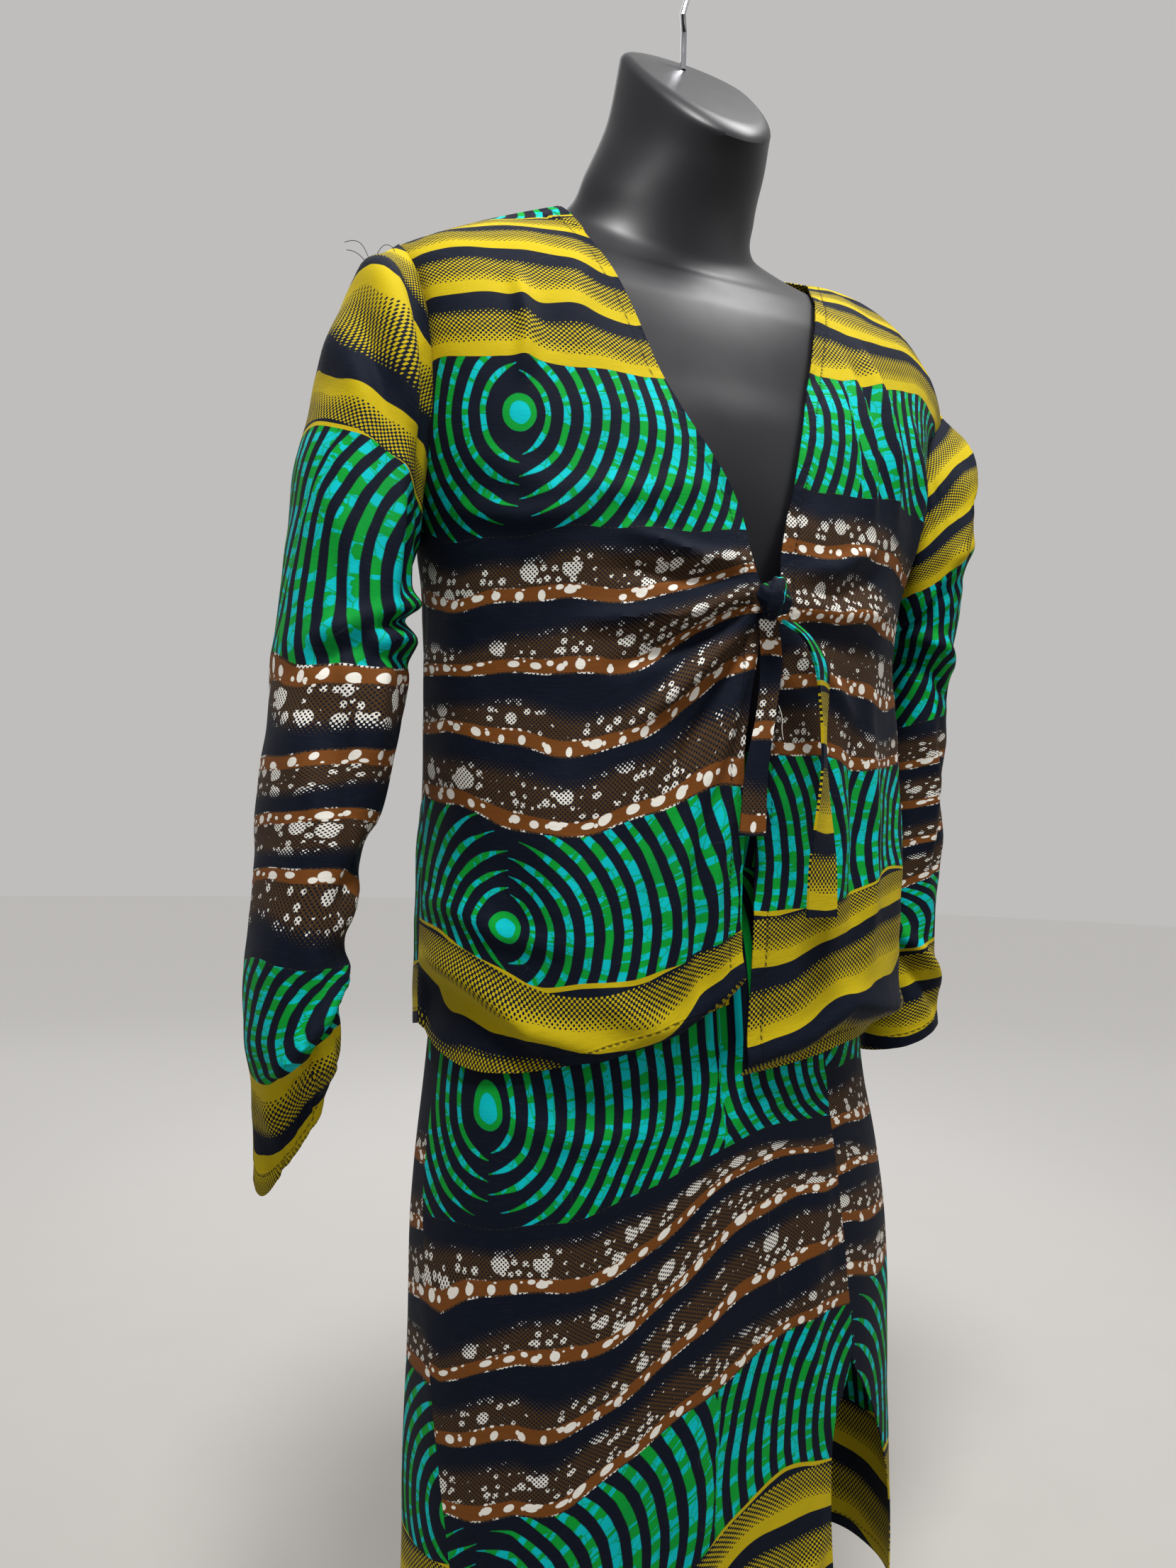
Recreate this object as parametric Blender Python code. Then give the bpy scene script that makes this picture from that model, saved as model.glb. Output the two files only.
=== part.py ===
# Two-piece kitenge dress, a tie-front jacket over a slit skirt, hanging on a torso form.
# Metres, +Z up. The front faces -Y and the wearer's right is -X.
# The origin is the inside top of the hook, where it sits on a rail.

import bpy
import bmesh
import math
from mathutils import Vector

# Driving sizes
NECK_LEVEL = -0.215      # shoulder point beside the neck, below the hook's seat
CLOTH = 0.0016           # wall of the cotton, seam allowances included
SEAM = 0.0004            # clearance between sewn pieces
REST = 0.0008            # clearance between cloth and the form it rests on
FORM_SEGMENTS = 36
FORM_ROWS = 34
CAP_ROUND = 0.006        # rounding of the form's cap at the neck
FOOT_ROUND = 0.012       # rounding of the form's lower edge
HOOK_WIRE = 0.0042       # diameter of the hook's rod
HOOK_RADIUS = 0.021      # middle line of the hook's bend
HOOK_PLACE = (0.007, 0.010)

# Torso form, a row for each level section.
# level: height where the section crosses y = 0, from the neck point
# shift: middle of the section; half: half width; front and back: depths; slope: rise towards the back
FORM_COLUMNS = ("level", "shift", "half", "front", "back", "slope")
FORM_SECTIONS = (
    (0.105, 0.006, 0.0535, 0.070, 0.030, 1.00),
    (0.062, 0.002, 0.0580, 0.060, 0.031, 0.68),
    (0.022, -0.008, 0.0645, 0.049, 0.032, 0.60),
    (-0.004, -0.013, 0.0710, 0.046, 0.034, 0.68),
    (-0.016, -0.009, 0.0960, 0.049, 0.038, 0.64),
    (-0.027, 0.000, 0.1310, 0.055, 0.042, 0.52),
    (-0.042, 0.000, 0.1630, 0.063, 0.046, 0.40),
    (-0.060, 0.000, 0.1830, 0.071, 0.050, 0.28),
    (-0.090, 0.000, 0.1890, 0.082, 0.054, 0.16),
    (-0.130, 0.000, 0.1850, 0.095, 0.056, 0.06),
    (-0.170, 0.000, 0.1750, 0.109, 0.056, 0.00),
    (-0.215, 0.000, 0.1620, 0.117, 0.054, 0.00),
    (-0.260, 0.000, 0.1490, 0.112, 0.050, 0.00),
    (-0.310, 0.000, 0.1370, 0.098, 0.047, 0.00),
    (-0.365, 0.000, 0.1270, 0.088, 0.046, 0.00),
    (-0.430, -0.002, 0.1400, 0.094, 0.051, 0.00),
    (-0.500, -0.004, 0.1480, 0.098, 0.055, 0.00),
    (-0.590, -0.006, 0.1480, 0.096, 0.054, 0.00),
)

# Jacket fronts, a row for each section from the hem up.
# up: place along the panel; in_*: point on the front edge;
# out_*: point on the side seam or armhole;
# reach and swell: how far the section leaves the inner edge sideways and forwards
# spread and wrap: how far it leaves the outer edge sideways and forwards
# sag and dip: drop of the section near its inner and its outer edge
FRONT_COLUMNS = ("up", "in_x", "in_y", "in_z", "out_x", "out_y", "out_z",
                 "reach", "swell", "spread", "wrap", "sag", "dip")
FRONT_RIGHT_SECTIONS = (
    (0.000, -0.010, -0.116, -0.533, -0.172, 0.010, -0.552, 0.090, 0.006, 0.004, 0.096, -0.014, -0.058),
    (0.042, -0.010, -0.119, -0.522, -0.173, 0.010, -0.530, 0.095, 0.010, 0.006, 0.096, -0.012, -0.036),
    (0.107, -0.011, -0.121, -0.492, -0.173, 0.010, -0.494, 0.095, 0.008, 0.004, 0.092, -0.008, -0.014),
    (0.220, -0.012, -0.122, -0.430, -0.173, 0.010, -0.430, 0.095, 0.004, 0.000, 0.085, 0.000, 0.000),
    (0.320, -0.013, -0.123, -0.372, -0.173, 0.009, -0.370, 0.095, 0.004, 0.000, 0.082, 0.000, 0.000),
    (0.415, -0.008, -0.126, -0.318, -0.175, 0.006, -0.312, 0.095, 0.004, 0.000, 0.080, 0.004, 0.004),
    (0.483, -0.007, -0.131, -0.282, -0.180, 0.002, -0.270, 0.095, 0.000, 0.000, 0.080, 0.004, 0.004),
    (0.525, -0.014, -0.128, -0.258, -0.186, -0.004, -0.244, 0.095, 0.004, 0.000, 0.075, 0.000, 0.000),
    (0.583, -0.020, -0.120, -0.222, -0.192, -0.026, -0.212, 0.090, 0.012, 0.000, 0.050, 0.000, 0.000),
    (0.695, -0.056, -0.102, -0.158, -0.192, -0.040, -0.160, 0.060, 0.014, 0.000, 0.036, 0.002, 0.002),
    (0.795, -0.073, -0.078, -0.100, -0.194, -0.034, -0.112, 0.045, 0.012, -0.002, 0.030, 0.004, 0.004),
    (0.872, -0.084, -0.052, -0.056, -0.197, -0.020, -0.080, 0.040, 0.008, -0.006, 0.022, 0.006, 0.008),
    (0.930, -0.0875, -0.025, -0.027, -0.199, -0.005, -0.062, 0.040, 0.004, -0.012, 0.010, 0.002, 0.010),
    (1.000, -0.0885, 0.010, 0.0022, -0.200, 0.010, -0.050, 0.042, 0.000, -0.030, 0.000, 0.001, 0.001),
)
FRONT_LEFT_SECTIONS = (
    (0.000, -0.003, -0.114, -0.574, 0.177, 0.010, -0.552, -0.090, 0.002, -0.004, 0.084, 0.000, 0.000),
    (0.042, -0.003, -0.117, -0.552, 0.181, 0.010, -0.534, -0.095, 0.008, -0.008, 0.088, 0.002, 0.000),
    (0.107, -0.001, -0.118, -0.512, 0.182, 0.010, -0.500, -0.095, 0.008, -0.004, 0.088, 0.000, 0.000),
    (0.220, 0.001, -0.117, -0.440, 0.179, 0.010, -0.434, -0.095, 0.004, 0.000, 0.085, 0.000, 0.000),
    (0.320, 0.002, -0.118, -0.375, 0.173, 0.009, -0.372, -0.095, 0.004, 0.000, 0.080, 0.000, 0.000),
    (0.415, 0.004, -0.121, -0.318, 0.169, 0.006, -0.314, -0.095, 0.004, 0.000, 0.076, 0.000, 0.000),
    (0.483, 0.008, -0.126, -0.280, 0.172, 0.002, -0.272, -0.095, 0.000, 0.000, 0.074, 0.000, 0.000),
    (0.525, 0.011, -0.122, -0.252, 0.180, -0.002, -0.248, -0.090, 0.004, 0.000, 0.068, 0.000, 0.000),
    (0.583, 0.018, -0.119, -0.219, 0.192, -0.014, -0.206, -0.080, 0.010, 0.000, 0.050, 0.000, 0.000),
    (0.672, 0.034, -0.107, -0.166, 0.201, -0.018, -0.164, -0.070, 0.014, 0.000, 0.040, 0.002, 0.002),
    (0.768, 0.056, -0.084, -0.112, 0.212, -0.016, -0.130, -0.055, 0.014, 0.004, 0.032, 0.006, 0.006),
    (0.862, 0.076, -0.060, -0.066, 0.228, -0.010, -0.112, -0.050, 0.008, 0.010, 0.022, 0.012, 0.022),
    (0.925, 0.094, -0.030, -0.038, 0.240, -0.003, -0.100, -0.045, 0.004, 0.016, 0.010, 0.024, 0.034),
    (1.000, 0.117, 0.006, -0.012, 0.247, 0.006, -0.089, -0.042, 0.000, 0.020, 0.000, 0.031, 0.041),
)

# Jacket back, a row for each section of its half, measured from the middle back.
# Its side seams follow the fronts; above the underarm the armholes have their own points.
BACK_COLUMNS = ("up", "in_x", "in_y", "in_z", "reach", "spread", "wrap", "sag", "dip")
BACK_SECTIONS = (
    (0.000, 0.002, 0.096, -0.566, 0.085, 0.004, 0.060, -0.004, -0.006),
    (0.042, 0.002, 0.096, -0.542, 0.085, 0.004, 0.062, -0.002, -0.002),
    (0.107, 0.002, 0.095, -0.500, 0.085, 0.002, 0.062, 0.000, 0.000),
    (0.220, 0.002, 0.090, -0.430, 0.085, 0.000, 0.060, 0.000, 0.000),
    (0.320, 0.003, 0.084, -0.370, 0.085, 0.000, 0.055, 0.000, 0.000),
    (0.415, 0.004, 0.080, -0.314, 0.085, 0.000, 0.052, 0.000, 0.000),
    (0.483, 0.005, 0.078, -0.272, 0.085, 0.000, 0.052, 0.000, 0.000),
    (0.525, 0.006, 0.077, -0.246, 0.085, 0.000, 0.054, 0.000, 0.000),
    (0.593, 0.008, 0.075, -0.204, 0.080, 0.000, 0.034, 0.000, 0.000),
    (0.695, 0.012, 0.072, -0.140, 0.080, 0.000, 0.020, 0.000, 0.000),
    (0.805, 0.016, 0.067, -0.076, 0.070, 0.002, 0.020, 0.004, 0.006),
    (0.900, 0.020, 0.060, -0.030, 0.060, 0.008, 0.014, 0.008, 0.012),
)
BACK_ARMHOLE_COLUMNS = ("up", "x", "y", "z")
BACK_ARMHOLE_RIGHT = (
    (0.593, -0.192, 0.024, -0.208),
    (0.695, -0.193, 0.044, -0.152),
    (0.805, -0.195, 0.040, -0.098),
    (0.900, -0.198, 0.028, -0.070),
)
BACK_ARMHOLE_LEFT = (
    (0.593, 0.192, 0.024, -0.208),
    (0.695, 0.204, 0.042, -0.164),
    (0.805, 0.218, 0.038, -0.126),
    (0.900, 0.232, 0.026, -0.106),
)
UNDERARM = 0.525                       # where the armhole begins along a panel
ROWS_BELOW = 11                        # rows of a panel below the underarm
ROWS_ABOVE = 14                        # rows of a panel along the armhole
ROWS_CLOSING = 1.25                    # more sets the upper rows closer to the shoulder
FRONT_STRIPS = 12                      # strips across a front
NECK_STRIPS = 4                        # strips of half the back under its neckline
SHOULDER_STRIPS = 6                    # strips of half the back under its shoulder
BACK_NECK = (0.022, 0.046, 0.010)      # middle of the back neckline
BACK_NECK_SHARE = 0.42                 # part of the back's width under the neckline
NECK_HOLLOW = (0.015, 0.004)           # backward and upward bow of each half of the neckline
SHOULDER_BULGE = 0.006                 # fullness of the back under the shoulder seam

# Sleeves, a row for each ring from the armhole down: its outer and inner points,
# the middle of its depth, and half that depth.
SLEEVE_COLUMNS = ("down", "outer_x", "outer_z", "inner_x", "inner_z", "mid_y", "half_depth")
SLEEVE_RIGHT_RINGS = (
    (0.05, -0.224, -0.073, -0.1920, -0.257, -0.004, 0.060),
    (0.12, -0.243, -0.112, -0.196, -0.269, -0.006, 0.064),
    (0.22, -0.260, -0.180, -0.199, -0.284, -0.012, 0.064),
    (0.32, -0.269, -0.242, -0.200, -0.304, -0.018, 0.060),
    (0.42, -0.275, -0.304, -0.201, -0.334, -0.024, 0.056),
    (0.52, -0.281, -0.364, -0.208, -0.376, -0.030, 0.054),
    (0.64, -0.287, -0.424, -0.221, -0.422, -0.036, 0.051),
    (0.76, -0.290, -0.480, -0.240, -0.474, -0.042, 0.048),
    (0.88, -0.291, -0.535, -0.242, -0.522, -0.046, 0.045),
    (1.00, -0.284, -0.625, -0.243, -0.572, -0.048, 0.043),
)
SLEEVE_LEFT_RINGS = (
    (0.05, 0.249, -0.114, 0.1860, -0.262, 0.000, 0.058),
    (0.12, 0.250, -0.144, 0.190, -0.275, 0.005, 0.060),
    (0.22, 0.249, -0.195, 0.192, -0.291, 0.012, 0.059),
    (0.32, 0.250, -0.252, 0.191, -0.312, 0.020, 0.056),
    (0.42, 0.252, -0.312, 0.188, -0.342, 0.026, 0.053),
    (0.52, 0.250, -0.370, 0.187, -0.384, 0.031, 0.052),
    (0.64, 0.254, -0.432, 0.189, -0.434, 0.034, 0.050),
    (0.76, 0.255, -0.488, 0.191, -0.486, 0.034, 0.047),
    (0.88, 0.259, -0.532, 0.194, -0.534, 0.032, 0.044),
    (1.00, 0.260, -0.566, 0.197, -0.592, 0.030, 0.042),
)
SLEEVE_ROWS = 20

# Skirt, a row for each level section: middle, half width, front and back depths,
# the shares of the half width where the slit's two edges run, and how many degrees
# the right side seam lies forward of the side.
SKIRT_COLUMNS = ("level", "shift", "half", "front", "back", "slit_front", "slit_back", "turn")
SKIRT_SECTIONS = (
    (-0.372, 0.000, 0.1322, 0.0912, 0.0490, 0.560, 0.560, 2.0),
    (-0.430, -0.003, 0.1440, 0.0990, 0.0560, 0.550, 0.550, 2.0),
    (-0.500, -0.006, 0.1530, 0.1030, 0.0610, 0.530, 0.530, 2.0),
    (-0.575, -0.009, 0.1570, 0.1060, 0.0670, 0.520, 0.520, 3.0),
    (-0.650, -0.004, 0.1690, 0.1070, 0.0700, 0.520, 0.520, 4.0),
    (-0.710, 0.000, 0.1740, 0.1060, 0.0720, 0.540, 0.540, 8.0),
    (-0.768, 0.002, 0.1765, 0.1050, 0.0740, 0.560, 0.560, 13.0),
    (-0.810, 0.0035, 0.1775, 0.1045, 0.0750, 0.460, 0.700, 17.0),
    (-0.860, 0.005, 0.1785, 0.1040, 0.0760, 0.440, 0.820, 22.0),
    (-0.910, 0.0065, 0.1790, 0.1040, 0.0770, 0.450, 0.900, 26.0),
    (-0.955, 0.008, 0.1790, 0.1040, 0.0780, 0.460, 0.940, 30.0),
)
SKIRT_SQUARE = 2.4       # 2 is an ellipse, more is squarer
SLIT_TOP = -0.768
SKIRT_STRIPS = 16
SKIRT_ROWS = 17

# Ties, a row for each point of the middle line: place, half width and twist in degrees.
TIE_COLUMNS = ("x", "y", "z", "half", "twist")
TIE_LONG = (
    (0.0040, -0.1425, -0.2945, 0.0070, 20.0),
    (0.0180, -0.1440, -0.3040, 0.0095, 35.0),
    (0.0290, -0.1430, -0.3200, 0.0090, 30.0),
    (0.0335, -0.1400, -0.3400, 0.0085, 38.0),
    (0.0350, -0.1390, -0.3620, 0.0075, 46.0),
    (0.0360, -0.1390, -0.3840, 0.0080, 44.0),
    (0.0365, -0.1385, -0.4120, 0.0105, 30.0),
    (0.0365, -0.1385, -0.4400, 0.0120, 14.0),
    (0.0360, -0.1390, -0.4740, 0.0125, 8.0),
)
TIE_SHORT = (
    (-0.0080, -0.1385, -0.2943, 0.0060, -10.0),
    (-0.0020, -0.1330, -0.3200, 0.0065, -30.0),
    (-0.0035, -0.1310, -0.3500, 0.0060, -35.0),
    (-0.0085, -0.1300, -0.3850, 0.0070, -20.0),
    (-0.0105, -0.1300, -0.4250, 0.0085, -10.0),
)
TIE_WALL = 0.0022
TIE_STRIPS = (-1.0, -0.33, 0.33, 1.0)
KNOT_CENTRE = (-0.007, -0.1425, -0.2820)
KNOT_RADII = (0.0125, 0.0105, 0.0130)
KNOT_GROOVE = 0.10


def at(x, y, z):
    """A point whose height is given from the neck point."""
    return Vector((x, y, z + NECK_LEVEL))


def steps(count):
    return [i / count for i in range(count + 1)]


def column(columns, rows, name):
    place = columns.index(name)
    return [row[place] for row in rows]


def smooth(keys, values, key):
    """Value of a smooth curve through the table's values at a key."""
    rising = keys[-1] > keys[0]
    last = len(keys) - 1
    i = 0
    while i < last - 1 and (key > keys[i + 1]) == rising:
        i += 1
    span = keys[i + 1] - keys[i]
    share = min(max((key - keys[i]) / span, 0.0), 1.0)

    def slope(j):
        low, high = max(j - 1, 0), min(j + 1, last)
        return (values[high] - values[low]) / (keys[high] - keys[low])

    s2, s3 = share * share, share ** 3
    return ((2 * s3 - 3 * s2 + 1) * values[i] + (s3 - 2 * s2 + share) * slope(i) * span
            + (3 * s2 - 2 * s3) * values[i + 1] + (s3 - s2) * slope(i + 1) * span)


def smooth_row(columns, rows, key_name, key):
    """The table's other columns, in their order, at a key."""
    keys = column(columns, rows, key_name)
    return [smooth(keys, column(columns, rows, name), key)
            for name in columns if name != key_name]


def smooth_point(keys, points, key):
    return Vector([smooth(keys, [p[axis] for p in points], key) for axis in range(3)])


def ring_point(section, angle, square=2.0):
    """Point of a level section; angle 0 is the wearer's left and 270 degrees the front."""
    level, shift, half, front, back, slope = section
    power = 2.0 / square
    c, s = math.cos(angle), math.sin(angle)
    x = math.copysign(abs(c) ** power, c) * half
    y = math.copysign(abs(s) ** power, s) * (front if s < 0 else back)
    return at(shift + x, y, level + slope * y)


def form_section(level):
    return [level] + smooth_row(FORM_COLUMNS, FORM_SECTIONS, "level", level)


def form_depth(point):
    """Roughly how far a point lies outside the form, and the direction straight out."""
    top, foot = FORM_SECTIONS[0][0], FORM_SECTIONS[-1][0]

    def share(p):
        z = p.z - NECK_LEVEL
        level = z
        for _ in range(3):
            level = z - form_section(min(level, top))[5] * p.y
        _, shift, half, front, back, _ = form_section(min(max(level, foot), top))
        return math.hypot((p.x - shift) / half, p.y / (front if p.y < 0 else back))

    here, step = share(point), 0.0005
    if here > 1.1:                     # too far out to matter
        return here - 1.0, Vector()
    slope = Vector([
        (share(point + Vector(axis) * step) - share(point - Vector(axis) * step)) / (2 * step)
        for axis in ((1, 0, 0), (0, 1, 0), (0, 0, 1))])
    steep = max(slope.length, 1.0)
    return (here - 1.0) / steep, slope / steep


def lifted(grid, kept=()):
    """The grid, moved out to where cloth can rest on the form, also between its points.
    The kept places stay."""
    clear = CLOTH + REST
    grid = [list(line) for line in grid]
    pairs = [(i, j, i + down, j + right) for down, right in ((0, 0), (0, 1), (1, 0), (1, 1), (1, -1))
             for i in range(len(grid) - down) for j in range(len(grid[0]))
             if 0 <= j + right < len(grid[0])]
    for _ in range(4):
        for i, j, k, m in pairs:
            out, direction = form_depth((grid[i][j] + grid[k][m]) / 2)
            if out < clear:
                for row, place in {(i, j), (k, m)}.difference(kept):
                    grid[row][place] = grid[row][place] + direction * (clear - out)
    return grid


def bent(start, start_pull, end_pull, end, share):
    """Point of a curve from start to end that leaves each towards its pull."""
    left = 1.0 - share
    return (start * left ** 3 + start_pull * 3 * left * left * share
            + end_pull * 3 * left * share * share + end * share ** 3)


def front_rows(side):
    return FRONT_RIGHT_SECTIONS if side < 0 else FRONT_LEFT_SECTIONS


def front_point(side, up, across):
    """Point of a front: up from the hem, across from the front edge to the side."""
    (in_x, in_y, in_z, out_x, out_y, out_z,
     reach, swell, spread, wrap, sag, dip) = smooth_row(FRONT_COLUMNS, front_rows(side), "up", up)
    rise = (out_z - in_z) / 3
    return bent(at(in_x, in_y, in_z),
                at(in_x - reach, in_y - swell, in_z + rise + sag),
                at(out_x - spread, out_y - wrap, out_z - rise + dip),
                at(out_x, out_y, out_z), across)


def back_edge(side, up):
    """Point of the back's side seam or armhole."""
    seam = Vector((0, SEAM, 0))
    if up <= UNDERARM:
        return front_point(side, up, 1.0) + seam
    rows = BACK_ARMHOLE_RIGHT if side < 0 else BACK_ARMHOLE_LEFT
    keys = [UNDERARM] + column(BACK_ARMHOLE_COLUMNS, rows, "up")
    points = [front_point(side, UNDERARM, 1.0) + seam] + [at(*row[1:]) for row in rows]
    return smooth_point(keys, points, up)


def back_half_point(side, up, across):
    in_x, in_y, in_z, reach, spread, wrap, sag, dip = smooth_row(
        BACK_COLUMNS, BACK_SECTIONS, "up", up)
    middle = at(in_x, in_y, in_z)
    edge = back_edge(side, up)
    rise = (edge.z - middle.z) / 3
    return bent(middle,
                middle + Vector((side * reach, 0, rise + sag)),
                edge + Vector((side * spread, wrap, dip - rise)),
                edge, across)


def back_point(side, up, across):
    """Point of the back's half, whose top follows the neckline and the shoulder."""
    top_key = BACK_SECTIONS[-1][0]
    if up <= top_key:
        return back_half_point(side, up, across)
    below = back_half_point(side, top_key, across)
    seam = Vector((0, SEAM, 0))
    if across < BACK_NECK_SHARE:
        share = across / BACK_NECK_SHARE
        bow = 4 * share * (1 - share)
        top = at(*BACK_NECK).lerp(front_point(side, 1.0, 0.0) + seam, share)
        top += Vector((0, NECK_HOLLOW[0], NECK_HOLLOW[1])) * bow
    else:
        share = (across - BACK_NECK_SHARE) / (1 - BACK_NECK_SHARE)
        top = front_point(side, 1.0, share) + seam
    share = (up - top_key) / (1.0 - top_key)
    bulge = math.sin(math.pi * share) * SHOULDER_BULGE
    return below.lerp(top, share) + Vector((0, bulge, bulge * 0.6))


def jacket_rows():
    """Places up a jacket panel, with one on the underarm."""
    below = [UNDERARM * share for share in steps(ROWS_BELOW)[:-1]]
    above = [1.0 - (1.0 - UNDERARM) * (1.0 - share) ** ROWS_CLOSING for share in steps(ROWS_ABOVE)]
    return below + above


def front_grid(side):
    return lifted([[front_point(side, up, across) for across in steps(FRONT_STRIPS)]
                   for up in jacket_rows()])


def back_half_grid(side, front):
    """Half the back, sewn to the top of the given front along the shoulder."""
    places = [BACK_NECK_SHARE * share for share in steps(NECK_STRIPS)[:-1]]
    places += [BACK_NECK_SHARE + (1 - BACK_NECK_SHARE) * share for share in steps(SHOULDER_STRIPS)]
    grid = [[back_point(side, up, across) for across in places] for up in jacket_rows()]
    top, kept = len(grid) - 1, []
    for j in range(SHOULDER_STRIPS + 1):
        place = front[-1][j * FRONT_STRIPS // SHOULDER_STRIPS]
        grid[top][NECK_STRIPS + j] = place + Vector((0, SEAM, 0))
        kept.append((top, NECK_STRIPS + j))
    return lifted(grid, kept)


def grid_normals(grid, closed=False, flip=False):
    """Outward directions of a grid whose rows go up and whose columns go to the right."""
    rows, columns = len(grid), len(grid[0])
    normals = []
    for i in range(rows):
        line = []
        for j in range(columns):
            along = grid[min(i + 1, rows - 1)][j] - grid[max(i - 1, 0)][j]
            if closed:
                across = grid[i][(j + 1) % columns] - grid[i][j - 1]
            else:
                across = grid[i][min(j + 1, columns - 1)] - grid[i][max(j - 1, 0)]
            normal = across.cross(along).normalized()
            line.append(-normal if flip else normal)
        normals.append(line)
    return normals


def wall(name, grid, material, thickness=CLOTH, closed=False, flip=False, edges=None):
    """Solid wall under the grid; edges sets the wall's direction at chosen grid places."""
    rows, columns = len(grid), len(grid[0])
    normals = grid_normals(grid, closed, flip)
    for (i, j), direction in (edges or {}).items():
        normals[i][j] = direction
    mesh = bmesh.new()
    outer = [[mesh.verts.new(p) for p in line] for line in grid]
    inner = [[mesh.verts.new(p - n * thickness) for p, n in zip(line, side)]
             for line, side in zip(grid, normals)]
    last = columns if closed else columns - 1
    for i in range(rows - 1):
        for j in range(last):
            k = (j + 1) % columns
            mesh.faces.new((outer[i][j], outer[i][k], outer[i + 1][k], outer[i + 1][j]))
            mesh.faces.new((inner[i + 1][j], inner[i + 1][k], inner[i][k], inner[i][j]))
    for j in range(last):
        k = (j + 1) % columns
        mesh.faces.new((inner[0][j], inner[0][k], outer[0][k], outer[0][j]))
        mesh.faces.new((outer[-1][j], outer[-1][k], inner[-1][k], inner[-1][j]))
    if not closed:
        for i in range(rows - 1):
            mesh.faces.new((outer[i + 1][0], inner[i + 1][0], inner[i][0], outer[i][0]))
            mesh.faces.new((outer[i][-1], inner[i][-1], inner[i + 1][-1], outer[i + 1][-1]))
    if flip:
        bmesh.ops.reverse_faces(mesh, faces=mesh.faces[:])
    return finish(name, mesh, material)


def finish(name, mesh, material):
    data = bpy.data.meshes.new(name)
    mesh.to_mesh(data)
    mesh.free()
    data.shade_smooth()
    data.set_sharp_from_angle(angle=math.radians(50))
    data.materials.append(material)
    thing = bpy.data.objects.new(name, data)
    bpy.context.collection.objects.link(thing)
    return thing


def plain_material(name, colour, roughness, metallic=0.0):
    material = bpy.data.materials.new(name)
    material.use_nodes = True
    shader = material.node_tree.nodes["Principled BSDF"]
    shader.inputs["Base Color"].default_value = (*colour, 1.0)
    shader.inputs["Roughness"].default_value = roughness
    shader.inputs["Metallic"].default_value = metallic
    return material


def form_rings():
    """Sections of the form from its cap to its foot, both edges rounded."""
    def inset(section, amount, raised):
        level, shift, half, front, back, slope = section
        return (level + raised, shift, half - amount, front - amount, back - amount, slope)

    top, foot = FORM_SECTIONS[0][0], FORM_SECTIONS[-1][0]
    rings = [inset(form_section(top), CAP_ROUND, CAP_ROUND),
             inset(form_section(top), CAP_ROUND * 0.3, CAP_ROUND * 0.7)]
    keys = column(FORM_COLUMNS, FORM_SECTIONS, "level")
    places = list(range(len(keys)))
    for share in steps(FORM_ROWS - 1):
        rings.append(form_section(smooth(places, keys, share * places[-1])))
    rings.append(inset(form_section(foot), FOOT_ROUND * 0.3, -FOOT_ROUND * 0.7))
    rings.append(inset(form_section(foot), FOOT_ROUND, -FOOT_ROUND))
    return rings


def make_form(material):
    """Closed torso, from the slanted cap of the neck to the flat foot at the hips."""
    mesh = bmesh.new()
    rings = [[mesh.verts.new(ring_point(section, 2 * math.pi * j / FORM_SEGMENTS))
              for j in range(FORM_SEGMENTS)] for section in form_rings()]
    for upper, lower in zip(rings, rings[1:]):
        for j in range(FORM_SEGMENTS):
            k = (j + 1) % FORM_SEGMENTS
            mesh.faces.new((lower[j], lower[k], upper[k], upper[j]))
    mesh.faces.new(rings[0])
    mesh.faces.new(rings[-1][::-1])
    return finish("torso_form", mesh, material)


def make_hook(material):
    """Bent rod: a stem on the cap, and a round bend open to one side."""
    x, y = HOOK_PLACE
    wire = HOOK_WIRE / 2
    level, slope = FORM_SECTIONS[0][0], FORM_SECTIONS[0][5]
    cap = level + CAP_ROUND + slope * y + NECK_LEVEL
    foot = Vector((x, y, cap + wire * slope + SEAM))
    centre = Vector((0.0, 0.0, wire - HOOK_RADIUS))
    stem = centre + Vector((0.0, 0.0, -HOOK_RADIUS - 0.018))
    upright = foot + Vector((0.0, 0.0, 0.028))
    points = [foot, foot + Vector((0.0, 0.0, 0.012)), upright, upright.lerp(stem, 0.6), stem]
    for share in steps(22):
        angle = math.radians(-75.0 + 280.0 * share)
        points.append(centre + Vector((math.cos(angle), 0.0, math.sin(angle))) * HOOK_RADIUS)
    data = bpy.data.curves.new("hanging_hook", "CURVE")
    data.dimensions = "3D"
    data.bevel_depth = wire
    data.bevel_resolution = 3
    data.use_fill_caps = True
    line = data.splines.new("POLY")
    line.points.add(len(points) - 1)
    for knot, point in zip(line.points, points):
        knot.co = (*point, 1.0)
    data.materials.append(material)
    hook = bpy.data.objects.new("hanging_hook", data)
    bpy.context.collection.objects.link(hook)
    return hook


def sleeve_grid(side, armhole):
    """Rings of a sleeve from the given armhole points to the cuff."""
    rings = SLEEVE_RIGHT_RINGS if side < 0 else SLEEVE_LEFT_RINGS
    keys = [0.0] + column(SLEEVE_COLUMNS, rings, "down")
    lines = []
    for j, start in enumerate(armhole):
        angle = 2 * math.pi * j / len(armhole)
        line = [start]
        for _, outer_x, outer_z, inner_x, inner_z, mid_y, half_depth in rings:
            outer, inner = at(outer_x, mid_y, outer_z), at(inner_x, mid_y, inner_z)
            forward = Vector((0, -half_depth, 0))
            line.append((outer + inner) / 2 + (outer - inner) / 2 * math.cos(angle)
                        + forward * math.sin(angle))
        lines.append(line)
    return [[smooth_point(keys, line, down) for line in lines] for down in steps(SLEEVE_ROWS)]


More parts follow.
